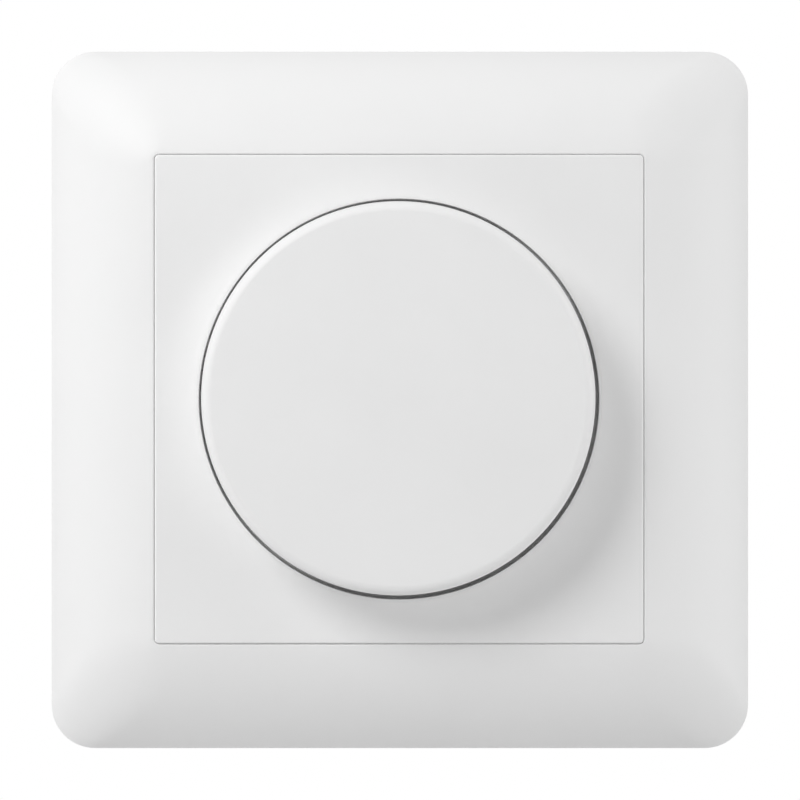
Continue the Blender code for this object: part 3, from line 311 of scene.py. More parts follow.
def linear(code):
    # an sRGB hex colour as linear values
    parts = [int(code[i:i + 2], 16) / 255 for i in (1, 3, 5)]
    return (*[c / 12.92 if c <= 0.04045 else ((c + 0.055) / 1.055) ** 2.4 for c in parts], 1.0)


def addNode(material, kind, settings=None, links=None):
    # one node with its settings and what feeds it
    node = material.node_tree.nodes.new(kind)
    for name, value in (settings or {}).items():
        if isinstance(name, int) or name in node.inputs:
            node.inputs[name].default_value = value
        else:
            setattr(node, name, value)
    for name, source in (links or {}).items():
        material.node_tree.links.new(source, node.inputs[name])
    return node


def newFinish(name, colour, roughness, metallic=0.0, **sockets):
    material = bpy.data.materials.new(name)
    material.use_nodes = True
    shader = material.node_tree.nodes["Principled BSDF"]
    shader.inputs["Base Color"].default_value = linear(colour)
    shader.inputs["Roughness"].default_value = roughness
    shader.inputs["Metallic"].default_value = metallic
    for socket, value in sockets.items():
        shader.inputs[socket.replace("_", " ")].default_value = value
    material.diffuse_color = linear(colour)
    return material, shader


def feedShader(material, shader, **feeds):
    # links what feeds each socket of the shader
    for socket, source in feeds.items():
        material.node_tree.links.new(source, shader.inputs[socket.replace("_", " ")])
    return material


def perMillimetre(size):
    # the scale of a noise whose features are that many millimetres
    return 1000 / size


def whitePlastic():
    # Thermoplastic (ABS/PC) moulded in a polished tool: even white with a soft gloss and a faint orange peel
    material, shader = newFinish("glossWhiteThermoplastic", "#EFEFEF", 0.5, IOR=1.5)
    place = addNode(material, "ShaderNodeTexCoord").outputs["Object"]
    flow = addNode(
        material, "ShaderNodeTexNoise", {"Scale": perMillimetre(14), "Detail": 3},
        {"Vector": place},
    )
    shade = addNode(
        material, "ShaderNodeMix",
        {"data_type": "RGBA", 6: linear("#EDEDED"), 7: linear("#F1F1F1")}, {"Factor": flow.outputs["Fac"]},
    )
    gloss = addNode(
        material, "ShaderNodeMapRange", {"From Min": 0.3, "From Max": 0.7, "To Min": 0.46, "To Max": 0.54},
        {"Value": flow.outputs["Fac"]},
    )
    peel = addNode(
        material, "ShaderNodeTexNoise", {"Scale": perMillimetre(1.6), "Detail": 2},
        {"Vector": place},
    )
    grain = addNode(
        material, "ShaderNodeTexNoise", {"Scale": perMillimetre(0.3), "Detail": 1},
        {"Vector": place},
    )
    coarse = addNode(
        material, "ShaderNodeBump", {"Strength": 0.12, "Distance": 0.00002}, {"Height": peel.outputs["Fac"]}
    )
    fine = addNode(
        material, "ShaderNodeBump", {"Strength": 0.1, "Distance": 0.000004},
        {"Height": grain.outputs["Fac"], "Normal": coarse.outputs["Normal"]},
    )
    return feedShader(
        material, shader,
        Base_Color=shade.outputs[2], Roughness=gloss.outputs["Result"], Normal=fine.outputs["Normal"],
    )


def mouldedPlastic(name, colour, worn, roughness, grain=0.35, depth=0.012):
    # Plastic moulded in a spark-eroded tool: fine matt pitting, a little lighter where it is handled
    material, shader = newFinish(name, colour, roughness, IOR=1.5)
    place = addNode(material, "ShaderNodeTexCoord").outputs["Object"]
    flow = addNode(
        material, "ShaderNodeTexNoise", {"Scale": perMillimetre(9), "Detail": 4},
        {"Vector": place},
    )
    pits = addNode(material, "ShaderNodeTexVoronoi", {"Scale": perMillimetre(grain)}, {"Vector": place})
    rough = addNode(
        material, "ShaderNodeTexNoise", {"Scale": perMillimetre(grain / 2), "Detail": 2},
        {"Vector": place},
    )
    edges = addNode(material, "ShaderNodeNewGeometry").outputs["Pointiness"]
    rub = addNode(
        material, "ShaderNodeMapRange", {"From Min": 0.5, "From Max": 0.62, "To Min": 0.0, "To Max": 0.5},
        {"Value": edges},
    )
    wear = addNode(
        material, "ShaderNodeMath", {"operation": "MULTIPLY_ADD", 1: 0.25},
        {0: flow.outputs["Fac"], 2: rub.outputs["Result"]},
    )
    shade = addNode(
        material, "ShaderNodeMix", {"data_type": "RGBA", 6: linear(colour), 7: linear(worn)},
        {"Factor": wear.outputs["Value"]},
    )
    gloss = addNode(
        material, "ShaderNodeMapRange", {"To Min": roughness - 0.08, "To Max": roughness + 0.08},
        {"Value": rough.outputs["Fac"]},
    )
    texture = addNode(
        material, "ShaderNodeBump", {"Strength": 0.5, "Distance": depth / 1000},
        {"Height": pits.outputs["Distance"]},
    )
    return feedShader(
        material, shader,
        Base_Color=shade.outputs[2], Roughness=gloss.outputs["Result"], Normal=texture.outputs["Normal"],
    )


def rolledMetal(name, colour, tint, roughness, spread=0.12, streak=(1.0, 1.0, 9.0), scratch=0.25, coat=0.0):
    # Rolled or drawn metal: long fine lines from the rolls, and cloudy patches left by plating or handling
    material, shader = newFinish(name, colour, roughness, 1.0, Coat_Weight=coat, Coat_Roughness=0.1)
    place = addNode(material, "ShaderNodeTexCoord").outputs["Object"]
    along = addNode(material, "ShaderNodeMapping", {"Scale": streak}, {"Vector": place})
    lines = addNode(
        material, "ShaderNodeTexNoise", {"Scale": perMillimetre(scratch * 6), "Detail": 4, "Roughness": 0.7},
        {"Vector": along.outputs["Vector"]},
    )
    dullest = roughness + spread / 2
    clouds = addNode(
        material, "ShaderNodeTexNoise", {"Scale": perMillimetre(5), "Detail": 3},
        {"Vector": place},
    )
    shade = addNode(
        material, "ShaderNodeMix", {"data_type": "RGBA", 6: linear(colour), 7: linear(tint)},
        {"Factor": clouds.outputs["Fac"]},
    )
    gloss = addNode(
        material, "ShaderNodeMapRange",
        {"From Min": 0.3, "From Max": 0.7, "To Min": dullest - spread, "To Max": dullest},
        {"Value": lines.outputs["Fac"]},
    )
    texture = addNode(
        material, "ShaderNodeBump", {"Strength": 0.2, "Distance": 0.00001}, {"Height": lines.outputs["Fac"]}
    )
    return feedShader(
        material, shader,
        Base_Color=shade.outputs[2], Roughness=gloss.outputs["Result"], Normal=texture.outputs["Normal"],
    )


white = whitePlastic()
print("front finish made")

# Cover frame: a bowed square frame, hollow behind, whose corners are widest halfway across


def coverFrame():
    size = {
        "skirt": 2.0,  # plain edge that stands on the wall
        "wall": 1.8,
        "rimWall": 1.4,
        "rimEdge": 0.2,
        "gap": 0.11,  # from the drawn plate, whose finer surface fills most of it
        "seat": 0.3,
        "ledge": 1.5,  # what the centre plate rests on
        "ledgeThickness": 1.3,
        "bulge": 21,  # half of the angle that the bowed front turns through
        "openingCorner": 0.55,
        "corner": 5.0,
        "cornerSwell": 3.5,
        "ribs": (-22, -8, 8, 22),
        "ribThickness": 1.0,
    }
    high = boxOf("cover_frame")[1]
    plateLow, plateHigh = boxOf("centre_plate")
    half, front = high.x, high.z
    opening = plateHigh.x + size["gap"]
    ledgeFront = plateLow.z - size["seat"]
    edge, rim = Vector((half, size["skirt"])), Vector((opening + size["rimEdge"], front))
    chord = rim - edge
    slope = math.degrees(math.atan2(chord.y, -chord.x))
    radius = chord.length / (2 * math.sin(math.radians(size["bulge"])))
    first = slope + size["bulge"]
    centre = edge - Vector((math.sin(math.radians(first)), math.cos(math.radians(first)))) * radius
    outside = arc(centre, radius, 90 - first, 90 - slope + size["bulge"], 26)
    inner = radius - size["wall"]
    innerEdge = math.degrees(math.acos((half - size["wall"] - centre.x) / inner))
    innerRim = math.degrees(math.acos((opening + size["rimWall"] - centre.x) / inner))
    inside = arc(centre, inner, innerRim, innerEdge, 12)
    foot = softened([(half - 0.8, 0), (half, 0), (half, size["skirt"] * 0.7)], 0.25, 3, False)[1:]
    lip = [rim - Vector((-0.6, 0.04)), (opening, front), (opening, ledgeFront + 0.5)]
    lip = softened(lip, size["rimEdge"], 5, False)[1:-1]
    behind = [
        (opening, ledgeFront),
        (opening - size["ledge"], ledgeFront),
        (opening - size["ledge"], ledgeFront - size["ledgeThickness"]),
        (opening + size["rimWall"], ledgeFront - size["ledgeThickness"]),
    ]
    section = foot + outside[:-1] + lip + softened(behind, 0.2, 2, False)
    section += inside + [(half - size["wall"], 0)]

    def cornerAt(reach):
        share = (reach - opening) / (half - opening)
        corner = size["openingCorner"] + share * (size["corner"] - size["openingCorner"])
        if 0 < share < 1:
            corner += 4 * share * (1 - share) * size["cornerSwell"]
        return max(0.3, corner)

    rings = [[(x, y, z) for x, y in roundedBox(reach, reach, cornerAt(reach), 16)] for reach, z in section]
    shape = closeUp(loftShape(rings + rings[:1])[0])
    # gussets behind the bow, from the opening's wall to the outer edge
    gusset = arc(centre, inner + 0.5, innerRim, innerEdge, 12)
    gusset += [(half - 1.4, 1.0), (opening + 0.8, ledgeFront - size["ledgeThickness"])]
    ribs = []
    for place in size["ribs"]:
        for quarter in range(4):
            rib = plateShape([gusset], place - size["ribThickness"] / 2, place + size["ribThickness"] / 2, 0)
            ribs.append(moved(moved(rib, turn=90, axis="X"), turn=90 * quarter))
    shape = carved(shape, gather(*ribs), "UNION")
    keepPiece("cover_frame", shape, white, 30)


coverFrame()
print("cover frame made")

# Centre plate: a flat square with a flared collar round the well that the knob stands in


def centrePlate():
    size = {
        "corner": 0.5,
        "edge": 0.25,  # softened edge that catches the light beside the joint
        "gap": 0.07,  # how much closer it comes to the frame than it is drawn
        "knobGap": 0.7,
        "bushGap": 0.3,
        "wall": 1.8,
        "skirt": 3.0,
        "flare": 4.2,
        "lip": 0.35,
        "rise": 0.45,
        "wellDepth": 2.85,
        "wellWall": 1.45,
        "floor": 1.6,
        "bossWall": 2.3,
        "boss": 3.9,  # back end of the boss round the bush
        "webThickness": 1.0,
        "webDepth": 2.6,
    }
    high = boxOf("centre_plate")[1]
    half, lipFront = high.x + size["gap"], high.z
    front = lipFront - size["rise"]
    skirtBack = front - size["skirt"]
    well = boxOf("rotary_knob")[1].x + size["knobGap"]
    hole = boxOf("pot_bush")[1].x + size["bushGap"]
    inside = half - size["wall"]
    under = front - size["wall"]

    edge, wall, burr = size["edge"], size["wall"], 0.15
    sides = roundedEdge(edge, front, 6)
    sides += [(0, skirtBack + burr), (burr, skirtBack), (wall - burr, skirtBack), (wall, skirtBack + burr)]
    sides += [(wall, under - 0.4), (wall + 0.12, under - 0.12), (wall + 0.4, under)]
    outer = []
    for inset, z in sides:
        reach = half - inset
        corner = max(0.12, size["corner"] - inset * 0.6)
        outer.append([(x, y, z) for x, y in roundedBox(reach, reach, corner, 8)])
    shape, frontOuter, backOuter = loftShape(outer)

    lipRadius = well + size["lip"]
    shares = [i / 20 for i in range(20, -1, -1)]
    flare = [(lipRadius + size["flare"] * share, front + size["rise"] * (1 - share) ** 2) for share in shares]
    floor = lipFront - size["wellDepth"]
    way = softened(
        [
            (lipRadius - 0.12, lipFront),
            (well, lipFront),
            (well, floor),
            (hole, floor),
            (hole, size["boss"]),
            (hole + size["bossWall"], size["boss"]),
            (hole + size["bossWall"], floor - size["floor"]),
            (well + size["wellWall"], floor - size["floor"]),
            (well + size["wellWall"], under),
        ],
        0.18, 3, False,
    )
    inner = [[(x, y, z) for x, y in ring(radius, 192)] for radius, z in flare + way[1:]]
    shape, frontInner, backInner = loftShape(inner, shape=shape)
    for loops in (frontOuter + frontInner, backOuter + backInner):
        bmesh.ops.triangle_fill(shape, use_beauty=True, edges=loops)
    shape = closeUp(shape)

    webs = []  # from the well to the skirt, behind the face
    for quarter in range(4):
        halfWeb = size["webThickness"] / 2
        web = boxShape(
            (well + 0.8, -halfWeb, under - size["webDepth"]),
            (inside + 0.6, halfWeb, under + 0.6), 0.1, 0.15,
        )
        webs.append(moved(web, turn=90 * quarter))
    shape = carved(shape, gather(*webs), "UNION")
    keepPiece("centre_plate", shape, white, 30)


centrePlate()
print("centre plate made")

# Knob: a plain round cap on a ribbed hub


def rotaryKnob():
    size = {
        "edge": 1.2,  # rounded rim of the face
        "crown": 0.06,  # how far the middle of the face stands proud
        "wall": 1.6,
        "cap": 1.6,
        "draft": 0.08,
        "hub": 5.6,
        "hubBack": 11.2,
        "bore": 3.3,
        "flat": 2.3,
        "boreEnd": 16.0,
        "ribs": 6,
        "ribThickness": 1.0,
        "ribDepth": 2.0,
    }
    low, high = boxOf("rotary_knob")
    radius, front, back = high.x, high.z, low.z
    rim = radius - size["draft"] / 2
    inner, under = radius - size["wall"], front - size["cap"]
    faceRim = rim - size["edge"]
    face = [(faceRim * i / 6, front - size["crown"] * (i / 6) ** 2) for i in range(6)]
    top = front - size["crown"]
    edge = arc((faceRim, top - size["edge"]), size["edge"], 90, 0, 14)
    behind = softened(
        [
            edge[-1],
            (radius, back),
            (inner, back),
            (inner, under),
            (size["hub"], under),
            (size["hub"], size["hubBack"]),
            (0, size["hubBack"]),
        ],
        0.25, 3, False,
    )
    shape = turnedShape(face + edge + behind[1:], 192)
    ribs = []
    for i in range(size["ribs"]):
        rib = boxShape(
            (size["hub"] - 0.8, -size["ribThickness"] / 2, under - size["ribDepth"]),
            (inner + 0.5, size["ribThickness"] / 2, under + 0.5), 0.12, 0.15,
        )
        ribs.append(moved(rib, turn=360 * (i + 0.5) / size["ribs"]))
    shape = carved(shape, gather(*ribs), "UNION")
    angle = math.degrees(math.acos(size["flat"] / size["bore"]))
    dHole = arc((0, 0), size["bore"], angle, 360 - angle, 48)
    shape = carved(shape, plateShape([dHole], size["hubBack"] - 1, size["boreEnd"], 0))
    keepPiece("rotary_knob", shape, white, 30)


rotaryKnob()
print("knob made")

darkShell = mouldedPlastic("sparkErodedDarkPolyamide", "#3A3B3D", "#55565A", 0.52)
# Steel strip, zinc plated and clear passivated: bright blue-grey with cloudy patches and fine rolling lines
zinc = rolledMetal("brightZincPlatedSteel", "#C3C8CC", "#B4BAC2", 0.3, coat=0.1)
zincTurned = rolledMetal("zincPlatedScrewSteel", "#C6CACC", "#B0B6BC", 0.28, streak=(1, 6, 1), scratch=0.15)
# Brass strip, stamped and slightly tarnished
brassStrip = rolledMetal("stampedBrass", "#D8B76A", "#C79F55", 0.3, streak=(6, 1, 1))
spring = rolledMetal("plainSpringSteel", "#9FA2A6", "#8C9096", 0.3)

thread = {"pitch": 0.5, "depth": 0.16}  # machine thread of the screws


def threadedRod(radius, low, high, steps=32, tip=0.3):
    # a turned rod whose surface is raised and lowered along a helix
    rows = max(8, int((high - low) / thread["pitch"] * 6))
    profile = [(0, low), (radius - tip, low)]
    profile += [(radius, low + tip + (high - low - tip) * i / rows) for i in range(rows + 1)]
    profile += [(0, high)]
    shape = turnedShape(profile[::-1], steps)
    for vert in shape.verts:
        if vert.co.xy.length > radius * 0.9 and low + tip / 2 < vert.co.z < high - 0.2:
            turn = math.atan2(vert.co.y, vert.co.x) / math.tau
            share = (vert.co.z / thread["pitch"] - turn) % 1.0
            depth = thread["depth"] * (1 - abs(2 * share - 1)) * 2
            vert.co.xy *= 1 - min(depth, thread["depth"]) / radius
    return shape


def slotTool(width, length, low, high):
    # cuts a screwdriver slot along x
    return boxShape((-length, -width / 2, low), (length, width / 2, high), 0)


def crossTool(width, length, top, depth):
    # the cross recess of a screw: two bars that narrow towards the bottom
    bars = []
    for turn in (0, 90):
        rings = []
        for share, z in ((1, top + 0.3), (1, top), (0.35, top - depth)):
            x, y = length * share, width / 2 * (0.5 + share / 2)
            rings.append([(x, y, z), (-x, y, z), (-x, -y, z), (x, -y, z)])
        shape, start, end = loftShape(rings)
        bmesh.ops.holes_fill(shape, edges=start + end)
        bars.append(moved(closeUp(shape), turn=turn))
    return carved(bars[0], bars[1], "UNION")


# Steel ring that carries the insert and is screwed to the wall box


def supportRing():
    size = {
        "corner": 3.0,
        "openingHalf": (20.5, 19.0),
        "openingCorner": 8.0,
        "boxCircle": 30.0,
        "slotHalf": 1.8,
        "slotSweep": 7.0,
        "screwPlace": (9.0, 22.1),
        "screwHole": 1.4,
        "windowX": (21.5, 24.4),
        "windowY": (2.5, 5.1),
        "clawOffset": 6.0,
        "clawScrewX": 24.2,
        "clawScrewHole": 1.7,
        "burr": 0.14,
    }
    low, high = boxOf("support_ring")
    half = high.x
    outlines = [
        roundedBox(half, half, size["corner"], 12),
        roundedBox(*size["openingHalf"], size["openingCorner"], 16),
    ]
    for quarter in range(4):
        turn, sweep, reach = 90 * quarter, size["slotSweep"], size["boxCircle"]
        slot = arc((0, 0), reach + size["slotHalf"], turn - sweep, turn + sweep, 10)
        for end, start in ((turn + sweep, turn + sweep), (turn - sweep, turn - sweep + 180)):
            middle = (reach * math.cos(math.radians(end)), reach * math.sin(math.radians(end)))
            slot += arc(middle, size["slotHalf"], start, start + 180, 12)[1:-1]
            if start == end:
                slot += arc((0, 0), reach - size["slotHalf"], turn + sweep, turn - sweep, 10)
        outlines.append(slot)
    placeX, placeY = size["screwPlace"]
    outlines += [ring(size["screwHole"], 32, (x, y)) for x in (-placeX, placeX) for y in (-placeY, placeY)]
    for side in (-1, 1):
        for across in (-1, 1):
            nearX, farX = size["windowX"]
            nearY, farY = size["windowY"]
            middle = (side * (nearX + farX) / 2, side * (across * (nearY + farY) / 2 - size["clawOffset"]))
            outlines.append(roundedBox((farX - nearX) / 2, (farY - nearY) / 2, 0.3, 4, middle))
        place = (side * size["clawScrewX"], -side * size["clawOffset"])
        outlines.append(ring(size["clawScrewHole"], 32, place))
    shape = plateShape(outlines, low.z, high.z, size["burr"], 3)
    keepPiece("support_ring", shape, zinc, 34)


def ringScrews():
    size = {
        "shank": 1.1,
        "head": 2.1,
        "headHeight": 1.4,
        "crown": 0.5,
        "recess": 0.85,
        "recessWidth": 0.55,
    }
    for i in range(4):
        node = f"ring_screw_{i + 1}"
        low, high = boxOf(node)
        middle = (low + high) / 2
        headBack = high.z - size["headHeight"]
        reach, shank = size["head"], size["shank"]
        turns = [math.radians(a) for a in range(0, 91, 15)]
        dome, crown = reach * 0.86, size["crown"]
        profile = [(dome * math.sin(a), high.z - crown * (1 - math.cos(a))) for a in turns]
        side = [(reach * 0.9, high.z - 0.55), (reach, high.z - 0.8), (reach, headBack), (shank, headBack)]
        profile += softened(side, 0.12, 3, False) + [(shank, headBack - 0.6), (0, headBack - 0.6)]
        head = turnedShape(profile, 48)
        head = carved(head, crossTool(size["recessWidth"], size["recess"], high.z, 0.9))
        shape = gather(head, threadedRod(shank, low.z, headBack - 0.2, 28, 0.45))
        shape = moved(shape, (middle.x, middle.y, 0))
        keepPiece(node, shape, zincTurned, 34)


def fixingNut():
    size = {"reach": 8.0, "bore": 5.2, "faceRadius": 7.1, "chamfer": 0.62}
    low, high = boxOf("fixing_nut")
    hexagon = arc((0, 0), size["reach"], 0, 300, 5)
    shape = plateShape([hexagon, ring(size["bore"], 64)], low.z, high.z, 0.05, 1)
    outside = size["reach"] + 0.2
    profile = [
        (0, high.z + 0.01),
        (size["faceRadius"], high.z + 0.01),
        (outside, high.z - size["chamfer"]),
        (outside, low.z + 0.3),
        (size["reach"] - 0.4, low.z - 0.01),
        (0, low.z - 0.01),
    ]
    shape = carved(shape, turnedShape(profile, 96), "INTERSECT")
    keepPiece("fixing_nut", softenSharp(shape, 0.05, 25, 1), zincTurned, 30)


def bushAndSpindle():
    size = {
        "outer": 4.9,
        "bore": 3.3,
        "flange": 8.0,
        "flangeThickness": 1.2,
        "pitch": 0.75,
        "threadDepth": 0.28,
    }
    low, high = boxOf("pot_bush")
    outer, bore, flange = size["outer"], size["bore"], size["flange"]
    flangeFront = low.z + size["flangeThickness"]
    profile = [(bore, high.z), (outer, high.z), (outer, flangeFront), (flange, flangeFront)]
    profile += [(flange, low.z), (bore, low.z)]
    shape = turnedShape(softened(profile, 0.2, 3), 64, closed=True)
    # thread in the outside, from the front end down to the flange
    grooves = []
    for i in range(int((high.z - flangeFront - 0.8) / size["pitch"])):
        z = high.z - 0.5 - size["pitch"] * i
        groove = [(outer - size["threadDepth"], z), (outer + 0.3, z + 0.32), (outer + 0.3, z - 0.32)]
        grooves.append(turnedShape(groove, 64, closed=True))
    shape = carved(shape, gather(*grooves))
    keepPiece("pot_bush", shape, brassStrip, name="bush")
    keepPiece("spindle", refined("spindle", 0.15, 3), spindlePlastic)


spindlePlastic = mouldedPlastic("naturalPolyamide", "#D6D5CE", "#E2E1DC", 0.42, 0.4, 0.006)
supportRing()
ringScrews()
fixingNut()
bushAndSpindle()
print("support ring, screws, nut, bush and spindle made")

# Moulded insert: the cover inside the ring and the housing that goes into the wall box

insert = {
    "half": (21.5, 24.5),
    "corner": 12.0,
    "wall": 1.6,
    "stepHalf": (20.2, 18.7),
    "stepCorner": 7.7,
    "coverWall": 1.6,
    "screwPlace": (9.0, 22.1),
    "screwHole": 1.4,
    "flange": 1.5,
    "closer": 0.24,  # the cover's flange reaches this much into the joints in front and behind
    "bossWall": 0.7,
    "screwDepth": 8.4,
    "bushHole": 5.2,
    "trimmerPlace": (-13.0, 10.0),
    "trimmerHole": 2.3,
    "terminals": (-10.0, 0.0, 10.0),
    "terminalY": -13.6,
    "accessHole": 2.3,
    "wireHole": 1.8,
    "ledgeX": (18.6, 20.7),
    "ledgeY": (9.0, -13.0),
    "ledgeHalf": 2.0,
}


def chamferedHole(radius, back, front, chamfer):
    # cuts a round hole with a wider mouth in front
    mouth = radius + 2 * chamfer
    end = front + chamfer
    profile = [(0, back), (radius, back), (radius, front - chamfer), (mouth, end), (0, end)]
    return turnedShape(profile, 64)


def insertCover():
    low, high = boxOf("insert_cover")
    closer = insert["closer"]
    placeX, placeY = insert["screwPlace"]
    corners = [(x, y) for x in (-placeX, placeX) for y in (-placeY, placeY)]
    flangeFront = low.z + insert["flange"] + closer
    holes = [ring(insert["screwHole"], 32, place) for place in corners]
    outline = roundedBox(*insert["half"], insert["corner"], 16)
    flange = plateShape([outline] + holes, low.z - closer, flangeFront, 0.2, 3)
    stepX, stepY = insert["stepHalf"]
    step = plateShape([roundedBox(stepX, stepY, insert["stepCorner"], 16)], low.z + 0.7, high.z, 0.5, 4)
    wall = insert["coverWall"]
    inner = roundedBox(stepX - wall, stepY - wall, insert["stepCorner"] - wall, 16)
    hollow = plateShape([inner], low.z - 1, high.z - wall, 0.4, 3)
    shape = carved(carved(flange, step, "UNION"), hollow)
    bushHole = chamferedHole(insert["bushHole"], -1, high.z, 0.3)
    trimmerHole = chamferedHole(insert["trimmerHole"], -1, high.z, 0.5)
    shape = carved(shape, gather(bushHole, moved(trimmerHole, (*insert["trimmerPlace"], 0))))
    keepPiece("insert_cover", shape, darkShell)


def funnelShape(radius, funnel, depth):
    # cuts a round hole from 0 along z, with a wider mouth at its start
    mouth = radius + funnel
    profile = [(0, -1), (mouth + 0.4, -0.4), (mouth, 0), (radius, funnel), (radius, depth), (0, depth)]
    return turnedShape(profile, 48)


def insertHousing():
    size = {
        "rearEdge": 1.2,
        "funnel": 0.7,
        "entryFunnel": 0.5,
        "markRadius": 1.6,
        "markDepth": 0.12,
        "marks": ((-15, 14), (15, 14), (-16.5, -6), (16.5, -6)),
        "panel": (11.0, 5.5),
        "panelPlace": (0.0, 4.5),
        "panelDepth": 0.25,
        "vents": 5,
        "ventPitch": 3.6,
        "ventHalf": (0.7, 3.2),
        "ventY": 16.5,
    }
    low, high = boxOf("insert_housing")
    back, front = low.z, high.z
    halfX, halfY = insert["half"]
    wall, corner, burr = insert["wall"], insert["corner"], 0.15
    outside = roundedEdge(size["rearEdge"], back, 9, -1) + [(0, front - burr), (burr, front)]
    floor = back + wall
    inside = [
        (wall - burr, front),
        (wall, front - burr),
        (wall, floor + 0.9),
        (wall + 0.25, floor + 0.25),
        (wall + 0.9, floor),
    ]
    rings = []
    for inset, z in outside + inside:
        rings.append([(x, y, z) for x, y in roundedBox(halfX - inset, halfY - inset, corner - inset, 16)])
    shape, start, end = loftShape(rings)
    for loop in (start, end):
        bmesh.ops.triangle_fill(shape, use_beauty=True, edges=loop)
    shape = closeUp(shape)

    # screw bosses in the wall and ledges under the board
    placeX, placeY = insert["screwPlace"]
    bossHalf = insert["screwHole"] + insert["bossWall"]
    holeEnd = front - insert["screwDepth"]
    added, holes = [], []
    for x in (-placeX, placeX):
        for y in (-placeY, placeY):
            reach = y + math.copysign(insert["bossWall"] - 0.1, y)
            lowY, highY = sorted((y - math.copysign(bossHalf, y), reach))
            bossEnd = holeEnd - insert["bossWall"]
            boss = (x - bossHalf, lowY, bossEnd), (x + bossHalf, highY, front - 0.01)
            added.append(boxShape(*boss, 0.1, 0.3))
            radius = insert["screwHole"]
            hole = [(0, holeEnd), (radius, holeEnd + 0.5), (radius, front + 1), (0, front + 1)]
            holes.append(moved(turnedShape(hole, 32), (x, y, 0)))
    for side in (-1, 1):
        for y in insert["ledgeY"]:
            lowX, highX = sorted(side * x for x in insert["ledgeX"])
            lowY, highY = y - insert["ledgeHalf"], y + insert["ledgeHalf"]
            added.append(boxShape((lowX, lowY, back + 1.0), (highX, highY, boardBack - 0.3), 0.1, 0.2))
    shape = carved(shape, gather(*added), "UNION")

    # screw accesses and wire entries, each with a funnel mouth
    for x in insert["terminals"]:
        access = funnelShape(insert["accessHole"], size["funnel"], 3)
        holes.append(moved(access, (x, insert["terminalY"], back)))
        entry = moved(funnelShape(insert["wireHole"], size["entryFunnel"], 4), turn=-90, axis="X")
        holes.append(moved(entry, (x, -halfY, wireHeight)))
    # shallow panel, ejector marks and vents on the back
    panelX, panelY = size["panel"]
    panel = plateShape([roundedBox(panelX, panelY, 0.8, 6)], back - 1, back + size["panelDepth"], 0)
    holes.append(moved(panel, (*size["panelPlace"], 0)))
    for place in size["marks"]:
        mark = plateShape([ring(size["markRadius"], 40)], back - 1, back + size["markDepth"], 0)
        holes.append(moved(mark, (*place, 0)))
    ventX, ventY = size["ventHalf"]
    for i in range(size["vents"]):
        x = (i - (size["vents"] - 1) / 2) * size["ventPitch"]
        vent = plateShape([roundedBox(ventX, ventY, ventX - 0.01, 8)], back - 1, floor + 1.2, 0)
        holes.append(moved(vent, (x, size["ventY"], 0)))
    shape = carved(shape, gather(*holes))
    keepPiece("insert_housing", shape, darkShell)


boardBack = boxOf("circuit_board")[0].z
barBack = boxOf("terminal_bar_1")[0].z
clampFront = boxOf("terminal_clamp_1")[1].z
wireHeight = (barBack + 0.8 + clampFront - 1.2) / 2  # the wire lies between the bar and the clamp
insertCover()
insertHousing()
print("insert cover and housing made")


# Expanding claws with their screws and nuts


